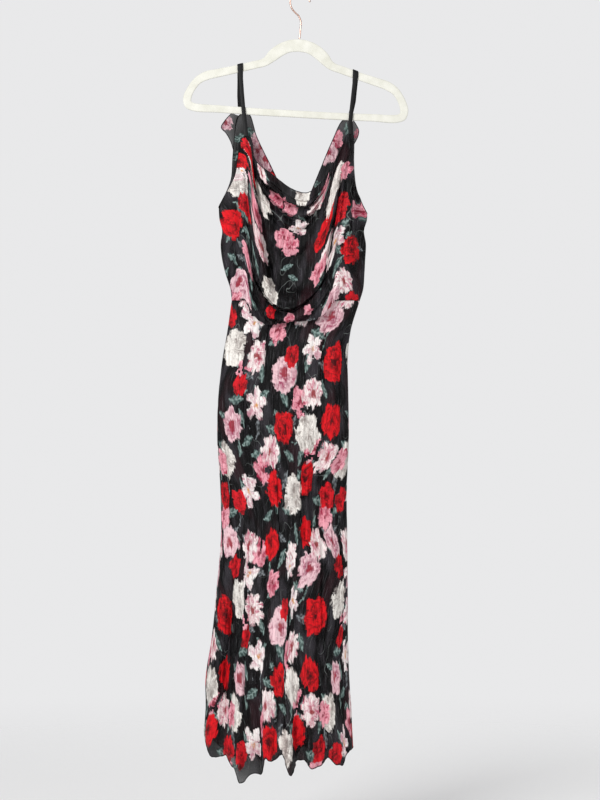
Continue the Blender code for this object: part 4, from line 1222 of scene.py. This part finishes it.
class MAXIDRESS_OT_flaps(bpy.types.Operator):
    """Adds the small free flaps of chiffon beside the straps"""

    bl_idname = "maxi_dress.flaps"
    bl_label = "Flaps"

    def execute(self, context):
        for name, inner, outer, place in FLAPS:
            points, sheer = flap_surface(inner, outer)
            width = running(points, 1)
            u = place[0] + width * (1 if inner[0][0] > 0 else -1)
            v = place[1] + running(points, 0)
            flap = printed_cloth(name, None, points, u, v, False, sheer, FLAP_BLOOMS, ())
            edge = rolled_edge(name + "_edge", points[:, -1], u[:, -1], v[:, -1])
        return {"FINISHED"}


def hanger_surface():
    """The moulded hanger: at each place along its loop, a rounded rectangle from the outer line to the
    inner one. A rectangle is rounded where the sine and cosine of a circle are drawn out by a root."""
    along = np.linspace(0, 1, HANGER_PLACES)
    lines = [
        np.stack([through(column(line, 0), column(line, index), along) for index in (1, 2)], axis=-1)
        for line in (HANGER_OUTER, HANGER_INNER)
    ]
    outer, inner = (np.concatenate([line, line[:0:-1] * (-1, 1)]) for line in lines)
    angle = np.linspace(0, 2 * math.pi, HANGER_SIDES, endpoint=False)
    cos, sin = np.cos(angle), np.sin(angle)
    share = np.sign(cos) * abs(cos) ** 0.5
    depth = np.sign(sin) * abs(sin) ** 0.5 * HANGER_THICKNESS / 2
    middle, half = (outer + inner) / 2, (outer - inner) / 2
    flat = middle[:, None] + half[:, None] * share[None, :, None]
    x, z = on_hanger(flat[..., 0], flat[..., 1])
    return np.stack([x, np.broadcast_to(depth, x.shape), z], axis=-1)


class MAXIDRESS_OT_hanger(bpy.types.Operator):
    """Adds the flocked hanger and its wire hook"""

    bl_idname = "maxi_dress.hanger"
    bl_label = "Hanger"

    def execute(self, context):
        points = hanger_surface()
        rows, columns = points.shape[:2]
        faces = grid_faces(rows + 1, columns, closed=True) % (rows * columns)
        body = mesh_object("hanger_flocked", points, faces, material("ivory_nylon_flock", velvet_material))
        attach(body, BODY)
        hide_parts("hanger_body")

        radius = HOOK_INNER_RADIUS + WIRE_RADIUS
        angle = np.radians(np.linspace(*HOOK_ARC, HOOK_KNOTS))
        bend = np.array(HOOK_CENTRE) + radius * np.stack([np.cos(angle), -np.sin(angle)], axis=-1)
        line = np.concatenate([HOOK_STEM, bend])
        knots = np.concatenate([[0], np.cumsum(np.linalg.norm(np.diff(line, axis=0), axis=1))])
        at = np.linspace(0, knots[-1], WIRE_PLACES)
        across, drop = (through(knots, line[:, index], at) for index in (0, 1))
        path = np.stack([across, np.zeros_like(across), -drop], axis=-1)
        copper = material("rose_gold_plated_wire", copper_material)
        hook = tube("hanger_wire", path, WIRE_RADIUS, copper, WIRE_SIDES)
        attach(hook, BODY)
        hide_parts("hanger_hook")
        return {"FINISHED"}


# The stage, in metres. Each lamp is its name, place, size and power in watts.
DRESS_MIDDLE = (0.0, 0.0, -0.8118)
FLOOR_GAP, FLOOR_REACH, FLOOR_CLEAR = 0.16, 2.6, 0.6
CAMERA_AWAY, VIEW_HEIGHT, SENSOR = 4.5, 1.596, 36.0
LAMPS = (
    ("key", (-1.3, -2.4, 0.5), 1.0, 62.0),
    ("fill", (1.7, -2.0, -0.7), 1.6, 10.0),
    ("rim", (0.4, 2.4, 0.3), 1.4, 16.0),
)


def floor_material():
    """Matt white paper, which fades out towards its rim, so that the floor has no edge."""
    made, tree, shader = new_material("matt_white_floor")
    place = add(tree, "TexCoord").outputs["Object"]
    flat = add(tree, "VectorMath MULTIPLY", place, (1.0, 1.0, 0.0))
    away = add(tree, "VectorMath LENGTH", flat)
    fade = add(tree, "MapRange SMOOTHSTEP", away, FLOOR_CLEAR, FLOOR_REACH, 1.0, 0.0)
    finish_shader(tree, shader, {"Base Color": linear("#f4f4f4"), "Roughness": 0.9, "Alpha": fade})
    return made


class MAXIDRESS_OT_stage(bpy.types.Operator):
    """Adds the pale floor, the soft studio light and the camera in front"""

    bl_idname = "maxi_dress.stage"
    bl_label = "Stage"

    def execute(self, context):
        angle = np.linspace(0, 2 * math.pi, 96, endpoint=False)
        level = np.full(len(angle), CAD_BOX[0].z - FLOOR_GAP)
        ring = np.stack([FLOOR_REACH * np.cos(angle), FLOOR_REACH * np.sin(angle), level], axis=-1)
        mesh = bpy.data.meshes.new("floor")
        mesh.from_pydata(ring, [], [list(range(len(angle)))])
        mesh.materials.append(floor_material())
        floor = bpy.data.objects.new("floor", mesh)
        context.scene.collection.objects.link(floor)
        world = bpy.data.worlds.new("studio")
        world.use_nodes = True
        tree = world.node_tree
        backdrop = tree.nodes["Background"]
        # The backdrop is paler to look at than it is bright, so that the lamps still shape the folds.
        seen = add(tree, "LightPath").outputs["Is Camera Ray"]
        strength = add(tree, "MapRange", seen, 0.0, 1.0, 0.60, 0.97)
        finish_shader(tree, backdrop, {"Color": linear("#ececed"), "Strength": strength})
        context.scene.world = world
        context.scene.view_settings.view_transform = "Standard"
        for name, place, size, power in LAMPS:
            light = bpy.data.lights.new(name, "AREA")
            light.size = size
            light.energy = power
            lamp = bpy.data.objects.new(name, light)
            aim = Vector(DRESS_MIDDLE) - Vector(place)
            lamp.location = place
            lamp.rotation_euler = aim.to_track_quat("-Z", "Y").to_euler()
            context.scene.collection.objects.link(lamp)
        camera = bpy.data.cameras.new("camera")
        camera.sensor_width = SENSOR
        camera.lens = SENSOR * CAMERA_AWAY / VIEW_HEIGHT
        eye = bpy.data.objects.new("camera", camera)
        eye.location = (DRESS_MIDDLE[0], DRESS_MIDDLE[1] - CAMERA_AWAY, DRESS_MIDDLE[2])
        eye.rotation_euler = (math.pi / 2, 0, 0)
        context.scene.collection.objects.link(eye)
        context.scene.camera = eye
        return {"FINISHED"}


class MAXIDRESS_PT_panel(bpy.types.Panel):
    """The sidebar panel that lists the sizes and the pieces"""

    bl_idname = "MAXIDRESS_PT_panel"
    bl_label = "Maxi Dress"
    bl_space_type = "VIEW_3D"
    bl_region_type = "UI"
    bl_category = "Maxi Dress"

    def draw(self, context):
        for name in MaxiDressSettings.__annotations__:
            self.layout.prop(context.scene.maxi_dress, name)
        for operator in OPERATORS:
            self.layout.operator(operator.bl_idname)


OPERATORS = (
    MAXIDRESS_OT_skirt,
    MAXIDRESS_OT_bodice,
    MAXIDRESS_OT_straps,
    MAXIDRESS_OT_flaps,
    MAXIDRESS_OT_hanger,
    MAXIDRESS_OT_stage,
)
CLASSES = (MaxiDressSettings, *OPERATORS, MAXIDRESS_PT_panel)


def register():
    """Makes the settings, the operators and the panel known to Blender."""
    for one in CLASSES:
        bpy.utils.register_class(one)
    bpy.types.Scene.maxi_dress = bpy.props.PointerProperty(type=MaxiDressSettings)


def unregister():
    """Takes them away again."""
    del bpy.types.Scene.maxi_dress
    for one in reversed(CLASSES):
        bpy.utils.unregister_class(one)


def main():
    """Registers the add-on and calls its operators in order."""
    register()
    bpy.ops.maxi_dress.skirt()
    bpy.ops.maxi_dress.bodice()
    bpy.ops.maxi_dress.straps()
    bpy.ops.maxi_dress.flaps()
    bpy.ops.maxi_dress.hanger()
    bpy.ops.maxi_dress.stage()


if __name__ == "__main__":
    main()
